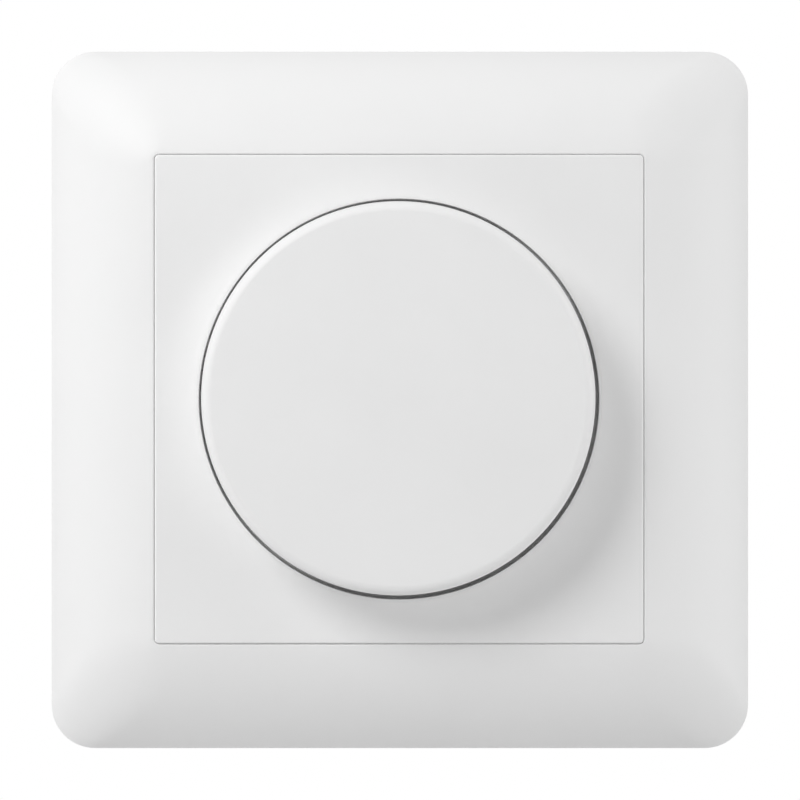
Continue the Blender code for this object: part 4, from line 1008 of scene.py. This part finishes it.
def claws():
    size = {
        "pivot": (22.9, 0.6),
        "offset": 6.0,
        "thickness": 1.2,
        "rest": 13.0,
        "halfWidth": 4.8,
        "slotHalf": 2.8,
        "length": 19.7,
        "bar": 2.0,
        "ringFront": 1.2,
        "gap": 0.3,
        "tab": 4.1,
        "tooth": 1.0,
        "toothLength": 1.6,
        "bend": 0.45,
        "teeth": 5,
        "toothPitch": 1.9,
        "toothNotch": 0.62,
        "screw": (1.3, 1.4, 2.4, 1.8),  # distance from the hinge line, shank, head and head height
        "nutGap": 0.45,
        "nutReach": 0.95,
        "nutWall": 0.7,
        "tongue": 2.4,
    }
    lean = math.radians(size["rest"])
    along, outward = Vector((math.sin(lean), -math.cos(lean))), Vector((math.cos(lean), math.sin(lean)))
    half = size["thickness"] / 2
    tabBack = size["ringFront"] + size["gap"] - size["pivot"][1]
    tabFront = tabBack + size["thickness"]

    def onFace(offset, z):
        return outward * offset + along * ((outward.y * offset - z) / math.cos(lean))

    for name, side in (("right", 1), ("left", -1)):
        turn = 0 if side > 0 else 180
        place = (side * size["pivot"][0], -side * size["offset"], size["pivot"][1])
        strip = [
            onFace(-half, tabFront),
            Vector((size["tab"], tabFront)),
            Vector((size["tab"], tabBack)),
            onFace(half, tabBack),
            outward * half + along * (size["length"] - size["toothLength"]),
            outward * (half + size["tooth"]) + along * size["length"],
            outward * -half + along * size["length"],
        ]
        outline = softened([tuple(point) for point in strip], size["bend"], 4)
        shape = plateShape([outline], -size["halfWidth"], size["halfWidth"], 0.12, 2)
        shape = moved(shape, turn=90, axis="X")
        cutters = []
        slotEnd = size["bar"] - size["length"]
        slot = boxShape((-6, -size["slotHalf"], slotEnd), (6.5, size["slotHalf"], 6.5), 0, 0.6)
        cutters.append(moved(slot, turn=-size["rest"], axis="Y"))
        tip = along * size["length"]
        for i in range(size["teeth"]):  # notches between the teeth of the gripping edge
            notch = bmesh.new()
            reach = size["toothNotch"]
            bmesh.ops.create_cone(notch, cap_ends=True, segments=4, radius1=reach, radius2=reach, depth=5)
            y = (i - (size["teeth"] - 1) / 2) * size["toothPitch"]
            cutters.append(moved(moved(notch, turn=90, axis="Y"), (tip.x + 1.3, y, tip.y - 0.22)))
        for cutter in cutters:
            shape = carved(shape, cutter)
        shape = moved(moved(shape, turn=turn), place)
        keepPiece("claw_" + name, shape, zinc)

        reach, shank, head, headHeight = size["screw"]
        node = "claw_screw_" + name
        low, high = boxOf(node)
        middle = (low + high) / 2
        headBack = high.z - headHeight
        end = headBack - 0.8
        profile = [(0, high.z), (head, high.z), (head, headBack), (shank, headBack), (shank, end), (0, end)]
        shape = turnedShape(softened(profile, 0.25, 4, False), 48)
        shape = carved(shape, slotTool(0.7, 4, high.z - headHeight / 2, high.z + 1))
        shape = gather(shape, threadedRod(shank, low.z, headBack - 0.4, 32, 0.35))
        shape = moved(shape, (middle.x, middle.y, 0))
        keepPiece(node, shape, zincTurned, 34)

        node = "claw_nut_" + name
        low, high = boxOf(node)
        front = high.z - size["pivot"][1]
        arm = -front * math.tan(lean) - half / math.cos(lean)
        wing, inner = arm - size["nutGap"], -size["nutReach"]
        tongue = reach + shank + size["gap"] + size["nutWall"]
        wide, narrow = size["halfWidth"] - size["gap"], size["tongue"]
        plan = [(wing, wide), (inner, wide), (inner, -wide), (wing, -wide)]
        plan += [(wing, -narrow), (tongue, -narrow), (tongue, narrow), (wing, narrow)]
        hole = ring(shank + 0.22, 40, (reach, 0))
        shape = plateShape([softened(plan, 0.35, 4), hole], low.z, high.z, 0.2, 3)
        shape = moved(moved(shape, turn=turn), (place[0], place[1], 0))
        keepPiece(node, shape, zinc, 34)


claws()
print("claws made")

# Terminals: plain moulded block, brass cages that rise on their screws, and the bars they press the wires on


def terminals():
    size = {
        "wall": 1.2,
        "cell": (3.1, 2.8),
        "stripHalf": 1.6,
        "window": 1.6,
        "hole": 1.6,
        "gripLines": 5,
        "gripPitch": 0.9,
        "gripHalf": (1.5, 0.15),
        "screw": (1.3, 2.1, 1.5),  # shank, head and head height
    }
    low, high = boxOf("terminal_block")
    middleY = insert["terminalY"]
    body = boxShape(low, high, 0.2, 0.4)
    cellX, cellY = size["cell"]
    for x in insert["terminals"]:
        near, far = middleY - cellY, middleY + cellY
        cell = boxShape((x - cellX, near, low.z - 1), (x + cellX, far, high.z + 1), 0, 0.3)
        wireWay = moved(funnelShape(insert["wireHole"], 0.35, 2.2), turn=-90, axis="X")
        wireWay = moved(wireWay, (x, low.y, wireHeight))
        strip = size["stripHalf"]
        stripWay = boxShape((x - strip, far - 1, barBack - 0.3), (x + strip, high.y + 1, high.z + 1), 0, 0.2)
        for tool in (cell, wireWay, stripWay):
            body = carved(body, tool)
    keepPiece("terminal_block", body, greyPlastic)

    for i, x in enumerate(insert["terminals"]):
        node = f"terminal_clamp_{i + 1}"
        low, high = boxOf(node)
        half = (high - low) / 2
        centre = (low + high) / 2
        cage = plateShape([roundedBox(half.x, half.z, 0.7, 6)], -half.y, half.y, 0.15, 2)
        cage = moved(moved(cage, turn=90, axis="X"), centre)
        window = plateShape([roundedBox(size["window"], half.z - size["wall"], 0.4, 5)], -4, 4, 0)
        window = moved(moved(window, turn=90, axis="X"), centre)
        hole = moved(funnelShape(size["hole"], 0.3, 2), (x, middleY, low.z))
        grooves = []
        top = high.z - size["wall"]
        for k in range(size["gripLines"]):  # pressed in the face that holds the wire
            y = middleY + (k - (size["gripLines"] - 1) / 2) * size["gripPitch"]
            middle, reach = Vector((x, y, top)), Vector((*size["gripHalf"], size["gripHalf"][1]))
            grooves.append(boxShape(middle - reach, middle + reach, 0, 0.05))
        cage = carved(carved(cage, window), hole)
        cage = carved(cage, gather(*grooves))
        keepPiece(node, cage, brassStrip)

        node = f"terminal_bar_{i + 1}"
        keepPiece(node, refined(node, 0.15), brassStrip)

        node = f"terminal_screw_{i + 1}"
        low, high = boxOf(node)
        shank, head, height = size["screw"]
        headFront = low.z + height
        end = headFront + 0.5
        profile = [(0, end), (shank, end), (shank, headFront), (head, headFront), (head, low.z), (0, low.z)]
        shape = turnedShape(softened(profile, 0.2, 3, False), 48)
        shape = carved(shape, slotTool(0.7, 4, low.z - 1, low.z + height / 2))
        cross = slotTool(0.6, 1.3, low.z - 1, low.z + height / 2 + 0.1)
        shape = carved(shape, moved(cross, turn=90))
        shape = gather(shape, threadedRod(shank, headFront + 0.3, high.z, 32, 0.3))
        keepPiece(node, moved(shape, (x, middleY, 0)), zincTurned, 34)


greyPlastic = mouldedPlastic("greyPolyamide", "#8F9294", "#A5A7A9", 0.5, 0.4, 0.01)
terminals()
print("terminals made")

# Circuit board with its parts


def boardFinish():
    # Green solder resist over etched copper on glass-epoxy board: glossy, with traces and tinned pads
    material, shader = newFinish(
        "greenSolderResist", "#1F6B3A", 0.28, IOR=1.5, Coat_Weight=0.4, Coat_Roughness=0.15
    )
    place = addNode(material, "ShaderNodeTexCoord").outputs["Object"]
    cells = addNode(
        material, "ShaderNodeTexVoronoi",
        {"feature": "F1", "distance": "CHEBYCHEV", "Scale": perMillimetre(3.2), "Randomness": 0.7},
        {"Vector": place},
    )
    lines = addNode(
        material, "ShaderNodeTexVoronoi",
        {"feature": "DISTANCE_TO_EDGE", "Scale": perMillimetre(3.2), "Randomness": 0.7}, {"Vector": place},
    )
    trace = addNode(
        material, "ShaderNodeMapRange", {"From Min": 0.1, "From Max": 0.14, "To Min": 1.0, "To Max": 0.0},
        {"Value": lines.outputs["Distance"]},
    )
    pad = addNode(
        material, "ShaderNodeMapRange", {"From Min": 0.13, "From Max": 0.16, "To Min": 1.0, "To Max": 0.0},
        {"Value": cells.outputs["Distance"]},
    )
    board = addNode(
        material, "ShaderNodeMix", {"data_type": "RGBA", 6: linear("#17552D"), 7: linear("#2C8148")},
        {"Factor": trace.outputs["Result"]},
    )
    shade = addNode(
        material, "ShaderNodeMix", {"data_type": "RGBA", 7: linear("#C9CBC8")},
        {"Factor": pad.outputs["Result"], 6: board.outputs[2]},
    )
    raised = addNode(
        material, "ShaderNodeBump", {"Strength": 0.4, "Distance": 0.00004},
        {"Height": trace.outputs["Result"]},
    )
    return feedShader(
        material, shader,
        Base_Color=shade.outputs[2], Metallic=pad.outputs["Result"], Normal=raised.outputs["Normal"],
    )


def mattBody(name, colour, tint, roughness, grain=0.25, depth=0.008, **sockets):
    # Moulded or dipped resin and sintered bodies: even colour, fine grain and a slightly uneven skin
    material, shader = newFinish(name, colour, roughness, IOR=1.5, **sockets)
    place = addNode(material, "ShaderNodeTexCoord").outputs["Object"]
    flow = addNode(
        material, "ShaderNodeTexNoise", {"Scale": perMillimetre(2.5), "Detail": 3},
        {"Vector": place},
    )
    skin = addNode(
        material, "ShaderNodeTexNoise", {"Scale": perMillimetre(grain), "Detail": 3},
        {"Vector": place},
    )
    shade = addNode(
        material, "ShaderNodeMix", {"data_type": "RGBA", 6: linear(colour), 7: linear(tint)},
        {"Factor": flow.outputs["Fac"]},
    )
    texture = addNode(
        material, "ShaderNodeBump", {"Strength": 0.5, "Distance": depth / 1000},
        {"Height": skin.outputs["Fac"]},
    )
    return feedShader(material, shader, Base_Color=shade.outputs[2], Normal=texture.outputs["Normal"])


resist = boardFinish()
blackPlastic = mouldedPlastic("blackGlassFilledPolyester", "#1B1B1D", "#2B2B2E", 0.48, 0.3, 0.01)
epoxy = mattBody("mouldedBlackEpoxy", "#151517", "#202022", 0.55)
ferriteBody = mattBody("sinteredFerrite", "#252426", "#35332F", 0.62, 0.18, 0.02)
redDip = mattBody("redDippedEpoxy", "#A8301C", "#BC3F27", 0.3, 1.2, 0.03, Coat_Weight=0.5)
blueDip = mattBody("blueDippedEpoxy", "#24529E", "#2E62B2", 0.3, 1.2, 0.03, Coat_Weight=0.5)
laminate = mattBody("phenolicPaperBoard", "#7A5632", "#8B653C", 0.5)
carbonTrack = mattBody("printedCarbonTrack", "#1C1B1A", "#262423", 0.42)
wheelPlastic = mattBody("whiteAcetal", "#E4E3DE", "#EDECE8", 0.4)
printedSleeve = mattBody("heatShrunkSleeve", "#23262B", "#2D3137", 0.32, 0.8, 0.01, Coat_Weight=0.3)
# Enamelled copper wire: a deep orange metal under clear lacquer
copperWire = rolledMetal("enamelledCopperWire", "#C46A35", "#B45A28", 0.22, streak=(1, 1, 3), coat=0.7)
aluminiumSheet = rolledMetal("plainAluminiumSheet", "#CDCFD1", "#BFC2C5", 0.36, streak=(8, 1, 1))
# Tinned copper and nickel: bright, a little milky
tinned = rolledMetal("tinnedCopper", "#CFCFCB", "#BDBDB8", 0.26, streak=(1, 1, 2))
nickel = rolledMetal("nickelPlatedBrass", "#CFC9BD", "#C2BBAE", 0.2, streak=(3, 1, 1))


def fuseGlass():
    # Clear glass tube
    material, shader = newFinish("clearFuseGlass", "#F2F5F3", 0.05, IOR=1.5, Transmission_Weight=0.92)
    place = addNode(material, "ShaderNodeTexCoord").outputs["Object"]
    draw = addNode(
        material, "ShaderNodeTexNoise", {"Scale": perMillimetre(4), "Detail": 1},
        {"Vector": place},
    )
    bump = addNode(
        material, "ShaderNodeBump", {"Strength": 0.1, "Distance": 0.00002},
        {"Height": draw.outputs["Fac"]},
    )
    return feedShader(material, shader, Normal=bump.outputs["Normal"])


def paint(shape, number, test):
    # gives another finish to the faces that pass a test
    for face in shape.faces:
        if test(face.calc_center_median()):
            face.material_index = number
    return shape


def numbered(shape, number):
    # gives the whole shape one of its piece's finishes
    for face in shape.faces:
        face.material_index = number
    return shape


def solderJoint(x, y, z, up):
    # a small cone of solder with a cut lead at its tip
    cone = turnedShape([(0, 0.7), (0.22, 0.62), (0.4, 0.3), (0.85, 0.02), (0.85, -0.02), (0, -0.02)], 20)
    if up < 0:
        cone = moved(cone, turn=180, axis="X")
    return moved(cone, (x, y, z))


def circuitBoard():
    size = {
        "corner": 10.0,
        "hole": 2.8,
        "fixingHole": 1.0,
        "fixings": ((-16, -12.5), (16, -12.5), (0, 17)),
        "frontJoints": (
            (-8.5, 8.5), (8.5, -8.5), (-8.5, -8.5), (6, 4), (-5, 4), (4, -9.4), (-4, -9.4), (16.8, 6),
        ),
        "backJoints": (
            (-6, -6.9), (6, -6.9), (-10, -5), (10.8, 7.5), (-11.4, 6.4), (0, 8.9), (3, 8.9), (-3, 8.9),
        ),
    }
    low, high = boxOf("circuit_board")
    half = high.x
    holes = [ring(size["hole"], 48)]
    holes += [ring(size["fixingHole"], 24, place) for place in size["fixings"]]
    shape = plateShape([roundedBox(half, half, size["corner"], 16)] + holes, low.z, high.z, 0.05, 1)
    joints = [solderJoint(x, y, high.z + 0.02, 1) for x, y in size["frontJoints"]]
    joints += [solderJoint(x, y, low.z - 0.02, -1) for x, y in size["backJoints"]]
    shape = gather(shape, numbered(gather(*joints), 1))
    keepPiece("circuit_board", shape, [resist, tinned], 35)


def potentiometer():
    size = {
        "boardHole": 2.3,
        "track": (5.3, 3.7),  # outer and inner radius of the printed carbon
        "trackEnds": (-60, 240),
        "collector": (3.2, 2.7),  # the ring that takes the current off
        "collectorEnds": (-75, 255),
        "wiperHole": 3.6,
        "contactRadius": 4.5,
        "contactTurns": (0, 14, 180, 194),
    }
    keepPiece("pot_case", refined("pot_case", 0.3, 3), blackPlastic)
    low, high = boxOf("resistor_track")
    outlines = [roundedBox(high.x, high.y, 0.5, 4), ring(size["boardHole"], 40)]
    layers = [plateShape(outlines, low.z, high.z - 0.04, 0.05, 1)]
    for number, (name, steps, top) in enumerate((("track", 72, high.z), ("collector", 60, high.z - 0.01)), 1):
        outer, inner = size[name]
        start, end = size[name + "Ends"]
        outline = arc((0, 0), outer, start, end, steps) + arc((0, 0), inner, end, start, steps)
        layers.append(numbered(plateShape([outline], high.z - 0.05, top, 0), number))
    finish = [laminate, carbonTrack, tinned]
    keepPiece("resistor_track", gather(*layers), finish)

    low, high = boxOf("wiper_contact")
    shape = plateShape([ring(high.x, 72), ring(size["wiperHole"], 48)], low.z + 0.2, high.z, 0.08, 2)
    dimples = []
    for turn in size["contactTurns"]:
        dimple = turnedShape([(0, low.z), (0.3, low.z + 0.06), (0.45, low.z + 0.3), (0, low.z + 0.3)], 24)
        dimples.append(moved(moved(dimple, (size["contactRadius"], 0, 0)), turn=turn))
    keepPiece("wiper_contact", gather(shape, *dimples), brassStrip)
    keepPiece("wiper_carrier", refined("wiper_carrier", 0.25, 3), greyPlastic)


def coilShape(radius, wire, start, end, turns, steps, sides):
    # round wire wound about z from one height to another
    rings = []
    for i in range(turns * steps + 1):
        turn = math.tau * i / steps
        out, up = Vector((math.cos(turn), math.sin(turn), 0)), Vector((0, 0, 1))
        centre = out * radius + up * (start + (end - start) * i / (turns * steps))
        rings.append([centre + out * x + up * y for x, y in ring(wire, sides)])
    shape, first, last = loftShape(rings)
    bmesh.ops.holes_fill(shape, edges=first + last)
    return closeUp(shape)


def pushSwitch():
    keepPiece("switch_body", refined("switch_body", 0.3, 3), blackPlastic)
    low, high = boxOf("switch_plunger")
    keepPiece("switch_plunger", rod(low.z, high.z, high.x, 0.4, 4), greyPlastic)
    low, high = boxOf("switch_contact")
    keepPiece("switch_contact", rod(low.z, high.z, high.x, 0.15, 3), brassStrip)

    size = {"coil": 2.6, "wire": 0.25, "turns": 3, "steps": 28}
    low, high = boxOf("switch_spring")
    start, end = low.z + size["wire"], high.z - size["wire"]
    shape = coilShape(size["coil"], size["wire"] * 0.98, start, end, size["turns"], size["steps"], 12)
    coil = keepPiece("switch_spring", shape, spring, 40)
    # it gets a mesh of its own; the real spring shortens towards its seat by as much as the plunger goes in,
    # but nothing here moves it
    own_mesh(coil)
    keepPiece("hub_spring_ring", refined("hub_spring_ring", 0.1), spring)


def choke():
    size = {"flange": 1.2, "neck": 2.4, "wire": 0.42}
    low, high = boxOf("choke_core")
    middle = (low + high) / 2
    radius, flange, neck = (high.x - low.x) / 2, size["flange"], size["neck"]
    back, front = low.z + flange, high.z - flange
    profile = [(0, high.z), (radius, high.z), (radius, front), (neck, front)]
    profile += [(neck, back), (radius, back), (radius, low.z), (0, low.z)]
    shape = turnedShape(softened(profile, 0.25, 3, False), 72)
    keepPiece("choke_core", moved(shape, (middle.x, middle.y, 0)), ferriteBody)
    low, high = boxOf("choke_winding")
    rows = int((high.z - low.z) / size["wire"])
    pitch = (high.z - low.z) / rows
    outer = (high.x - low.x) / 2
    start, end = low.z + pitch / 2, high.z - pitch / 2
    coil = coilShape(outer - pitch / 2, pitch / 2 * 0.99, start, end, rows - 1, 40, 8)
    inner, outer = neck + 0.35, outer - pitch * 0.6
    back, front = low.z + 0.1, high.z - 0.1
    layers = turnedShape([(outer, front), (outer, back), (inner, back), (inner, front)], 64, closed=True)
    shape = moved(gather(coil, layers), (middle.x, middle.y, 0))
    keepPiece("choke_winding", shape, copperWire, 40)


def powerParts():
    size = {
        "markRadius": 0.8,
        "markPlace": 1.8,
        "crimp": (2.1, 1.75, 1.4),  # groove in the can: its two ends and its middle, from the board
        "crimpDepth": 0.35,
        "canRim": 0.5,
        "score": (0.3, 0.6),  # width, and reach as a share of the can's radius
    }
    for i in (1, 2):
        node = f"mosfet_{i}"
        low, high = boxOf(node)
        place = (low.x + size["markPlace"], low.y + size["markPlace"])
        mark = plateShape([ring(size["markRadius"], 32, place)], high.z - 0.15, high.z + 1, 0)
        body = carved(boxShape(low, high, 0.25, 0.3), mark)
        keepPiece(node, body, epoxy, name=f"powerSwitch{i}")
    keepPiece("heat_sink", refined("heat_sink", 0.2), aluminiumSheet)

    low, high = boxOf("film_capacitor")
    keepPiece("film_capacitor", boxShape(low, high, 1.0, 1.1), redDip, 50)

    low, high = boxOf("storage_capacitor")
    middle, radius = (low + high) / 2, (high.x - low.x) / 2
    far, between, near = (high.z - reach for reach in size["crimp"])
    lid, sunk = radius - size["canRim"], low.z + 0.15
    can = [(0, high.z), (radius, high.z)]
    can += [(radius, near), (radius - size["crimpDepth"], between), (radius, far)]
    can += [(radius, low.z), (lid, low.z), (lid - 0.1, sunk), (0, sunk)]
    shape = turnedShape(softened(can, 0.3, 4, False), 64)
    width, share = size["score"]
    for turn in (0, 90):  # scored cross that lets the can open
        shape = carved(shape, moved(slotTool(width, radius * share, low.z - 1, low.z + 0.3), turn=turn))
    shape = paint(shape, 1, lambda c: c.z < low.z + 0.35 and c.xy.length < lid + 0.05)
    shape = moved(shape, (middle.x, middle.y, 0))
    keepPiece("storage_capacitor", shape, [printedSleeve, aluminiumSheet])

    low, high = boxOf("varistor")
    middle, radius = (low + high) / 2, (high.z - low.z) / 2
    thick = (high.x - low.x) / 2
    lens = [(0, 1), (0.6, 0.97), (0.85, 0.8), (0.97, 0.4), (1, 0)]
    lens += [(r, -z) for r, z in reversed(lens[:-1])]
    shape = turnedShape([(radius * r, thick * z) for r, z in lens], 64)
    keepPiece("varistor", moved(moved(shape, turn=90, axis="Y"), middle), blueDip, 60)


def controllerChip():
    size = {
        "legReach": 0.9,
        "dotRadius": 0.3,
        "legs": 4,
        "legHalf": 0.2,
        "legThickness": 0.14,
        "legFoot": 0.5,
        "shoulder": 0.7,
        "endMargin": 0.6,  # from the body's end to the middle of the first leg
    }
    low, high = boxOf("controller_chip")
    side, margin = Vector((size["legReach"], 0.1, 0.1)), size["endMargin"]
    body = boxShape(low + side, high - Vector((side.x, side.y, 0)), 0.12, 0.15)
    dotPlace = (low.x + size["legReach"] + 0.5, low.y + margin)
    body = carved(body, plateShape([ring(size["dotRadius"], 24, dotPlace)], high.z - 0.08, high.z + 1, 0))
    middle, reach = (low + high) / 2, (high.x - low.x) / 2
    inner, shoulder = reach - size["legReach"] - 0.1, high.z - size["shoulder"]
    foot, thick, bent = low.z, size["legThickness"], reach - size["legFoot"]
    bend = [(inner, shoulder), (inner + 0.35, shoulder), (bent, foot + thick), (reach, foot + thick)]
    bend += [(reach, foot), (bent - 0.1, foot), (inner + 0.28, shoulder - 0.15), (inner, shoulder - 0.15)]
    pitch = (high.y - low.y - 2 * margin) / (size["legs"] - 1)
    legs = []
    for turn in (0, 180):
        for k in range(size["legs"]):
            leg = plateShape([bend[::-1]], -size["legHalf"], size["legHalf"], 0.02, 1)
            leg = moved(moved(leg, turn=90, axis="X"), turn=turn)
            legs.append(moved(leg, (middle.x, low.y + margin + k * pitch, 0)))
    shape = gather(body, numbered(gather(*legs), 1))
    keepPiece("controller_chip", shape, [epoxy, tinned], 35)


def fuseAndClips():
    size = {"capLength": 5.0, "capWall": 0.25, "glassGap": 0.3, "glassWall": 0.5, "wireRadius": 0.12}
    low, high = boxOf("fuse")
    middle, radius, half = (low + high) / 2, (high.z - low.z) / 2, (high.x - low.x) / 2
    capEnd, inside = half - size["capLength"], radius - size["capWall"]
    cap = [(0, half), (radius, half), (radius, capEnd)]
    cap += [(inside, capEnd), (inside, half - 0.3), (0, half - 0.3)]
    caps = []
    for side in (-1, 1):
        caps.append(moved(turnedShape(softened(cap, 0.2, 3, False), 48), turn=90 * side, axis="Y"))
    outer, end = radius - size["glassGap"], half - 0.5
    inner = outer - size["glassWall"]
    tube = turnedShape([(outer, end), (outer, -end), (inner, -end), (inner, end)], 48, closed=True)
    tube = numbered(moved(tube, turn=90, axis="Y"), 1)
    end, thin = half - 0.4, size["wireRadius"]
    wire = turnedShape([(0, end), (thin, end), (thin, -end), (0, -end)], 12)
    wire = numbered(moved(wire, turn=90, axis="Y"), 2)
    shape = moved(gather(gather(*caps), tube, wire), middle)
    keepPiece("fuse", shape, [nickel, fuseGlass(), tinned], 34)
    for i in (1, 2):
        node = f"fuse_clip_{i}"
        keepPiece(node, refined(node, 0.08), brassStrip, 34)


def trimmer():
    slot = 0.7  # width and depth
    keepPiece("trimmer_base", refined("trimmer_base", 0.2), blueDip)
    low, high = boxOf("trimmer_wheel")
    middle, radius = (low + high) / 2, (high.x - low.x) / 2
    shape = carved(rod(low.z, high.z, radius, 0.3, 4), slotTool(slot, 4, high.z - slot, high.z + 1))
    keepPiece("trimmer_wheel", moved(shape, (middle.x, middle.y, 0)), wheelPlastic)


circuitBoard()
potentiometer()
pushSwitch()
choke()
powerParts()
controllerChip()
fuseAndClips()
trimmer()
print("circuit board and its parts made")

# Floor, light and camera


def studio():
    floorRadius, floorDrop, surroundPower = 0.5, -0.12, 0.327
    lights = {
        # place of each lamp in metres, its size and its power
        "keyLamp": ((-0.24, -0.32, 0.24), 0.22, 1.04),
        "leftPanel": ((-0.75, -0.12, 0.05), 0.60, 1.03),
        "rightPanel": ((0.75, -0.12, 0.0), 0.60, 2.70),
        "topPanel": ((0.0, -0.12, 0.75), 0.60, 1.17),
    }
    floor = bmesh.new()
    bmesh.ops.create_circle(floor, cap_ends=True, segments=96, radius=floorRadius)
    bmesh.ops.translate(floor, verts=floor.verts, vec=(0, 0, floorDrop))
    mesh = bpy.data.meshes.new("studioFloor")
    floor.to_mesh(mesh)
    floor.free()
    item = bpy.data.objects.new("studioFloor", mesh)
    bpy.context.scene.collection.objects.link(item)
    material, shader = newFinish("paleStudioFloor", "#E9E9E9", 0.7)
    place = addNode(material, "ShaderNodeTexCoord").outputs["Object"]
    paper = addNode(
        material, "ShaderNodeTexNoise", {"Scale": perMillimetre(2), "Detail": 4},
        {"Vector": place},
    )
    bump = addNode(
        material, "ShaderNodeBump", {"Strength": 0.1, "Distance": 0.0001},
        {"Height": paper.outputs["Fac"]},
    )
    mesh.materials.append(feedShader(material, shader, Normal=bump.outputs["Normal"]))

    for name, (place, width, power) in lights.items():
        lamp = bpy.data.lights.new(name, "AREA")
        lamp.shape = "DISK"
        lamp.size = width
        lamp.energy = power
        holder = bpy.data.objects.new(name, lamp)
        holder.location = place
        holder.rotation_euler = (Vector((0, 0, 0)) - Vector(place)).to_track_quat("-Z", "Y").to_euler()
        holder.visible_camera = False
        bpy.context.scene.collection.objects.link(holder)

    # an even pale surround that the camera sees as white
    world = bpy.data.worlds.new("studioSurround")
    bpy.context.scene.world = world
    world.use_nodes = True
    surround = world.node_tree.nodes["Background"]
    surround.inputs["Color"].default_value = (1, 1, 1, 1)
    surround.inputs["Strength"].default_value = surroundPower
    seen = addNode(world, "ShaderNodeLightPath").outputs["Is Camera Ray"]
    backdrop = addNode(world, "ShaderNodeBackground", {"Color": (1, 1, 1, 1), "Strength": 1.0})
    both = addNode(
        world, "ShaderNodeMixShader", {}, {0: seen, 1: surround.outputs[0], 2: backdrop.outputs[0]}
    )
    world.node_tree.links.new(both.outputs[0], world.node_tree.nodes["World Output"].inputs["Surface"])


def addCamera():
    aim = 0.0047  # how far right and below the middle it stands, made up by the shift
    camera = bpy.data.cameras.new("camera")
    camera.lens = 155.9
    camera.sensor_width = 36
    camera.clip_start = 0.01
    camera.shift_x, camera.shift_y = -0.051, 0.051
    holder = bpy.data.objects.new("camera", camera)
    holder.location = (aim, -0.4, -aim)
    holder.rotation_euler = (math.pi / 2, 0, 0)
    bpy.context.scene.collection.objects.link(holder)
    bpy.context.scene.camera = holder


studio()
addCamera()
bpy.context.scene.view_settings.view_transform = "Standard"
print("scene ready")
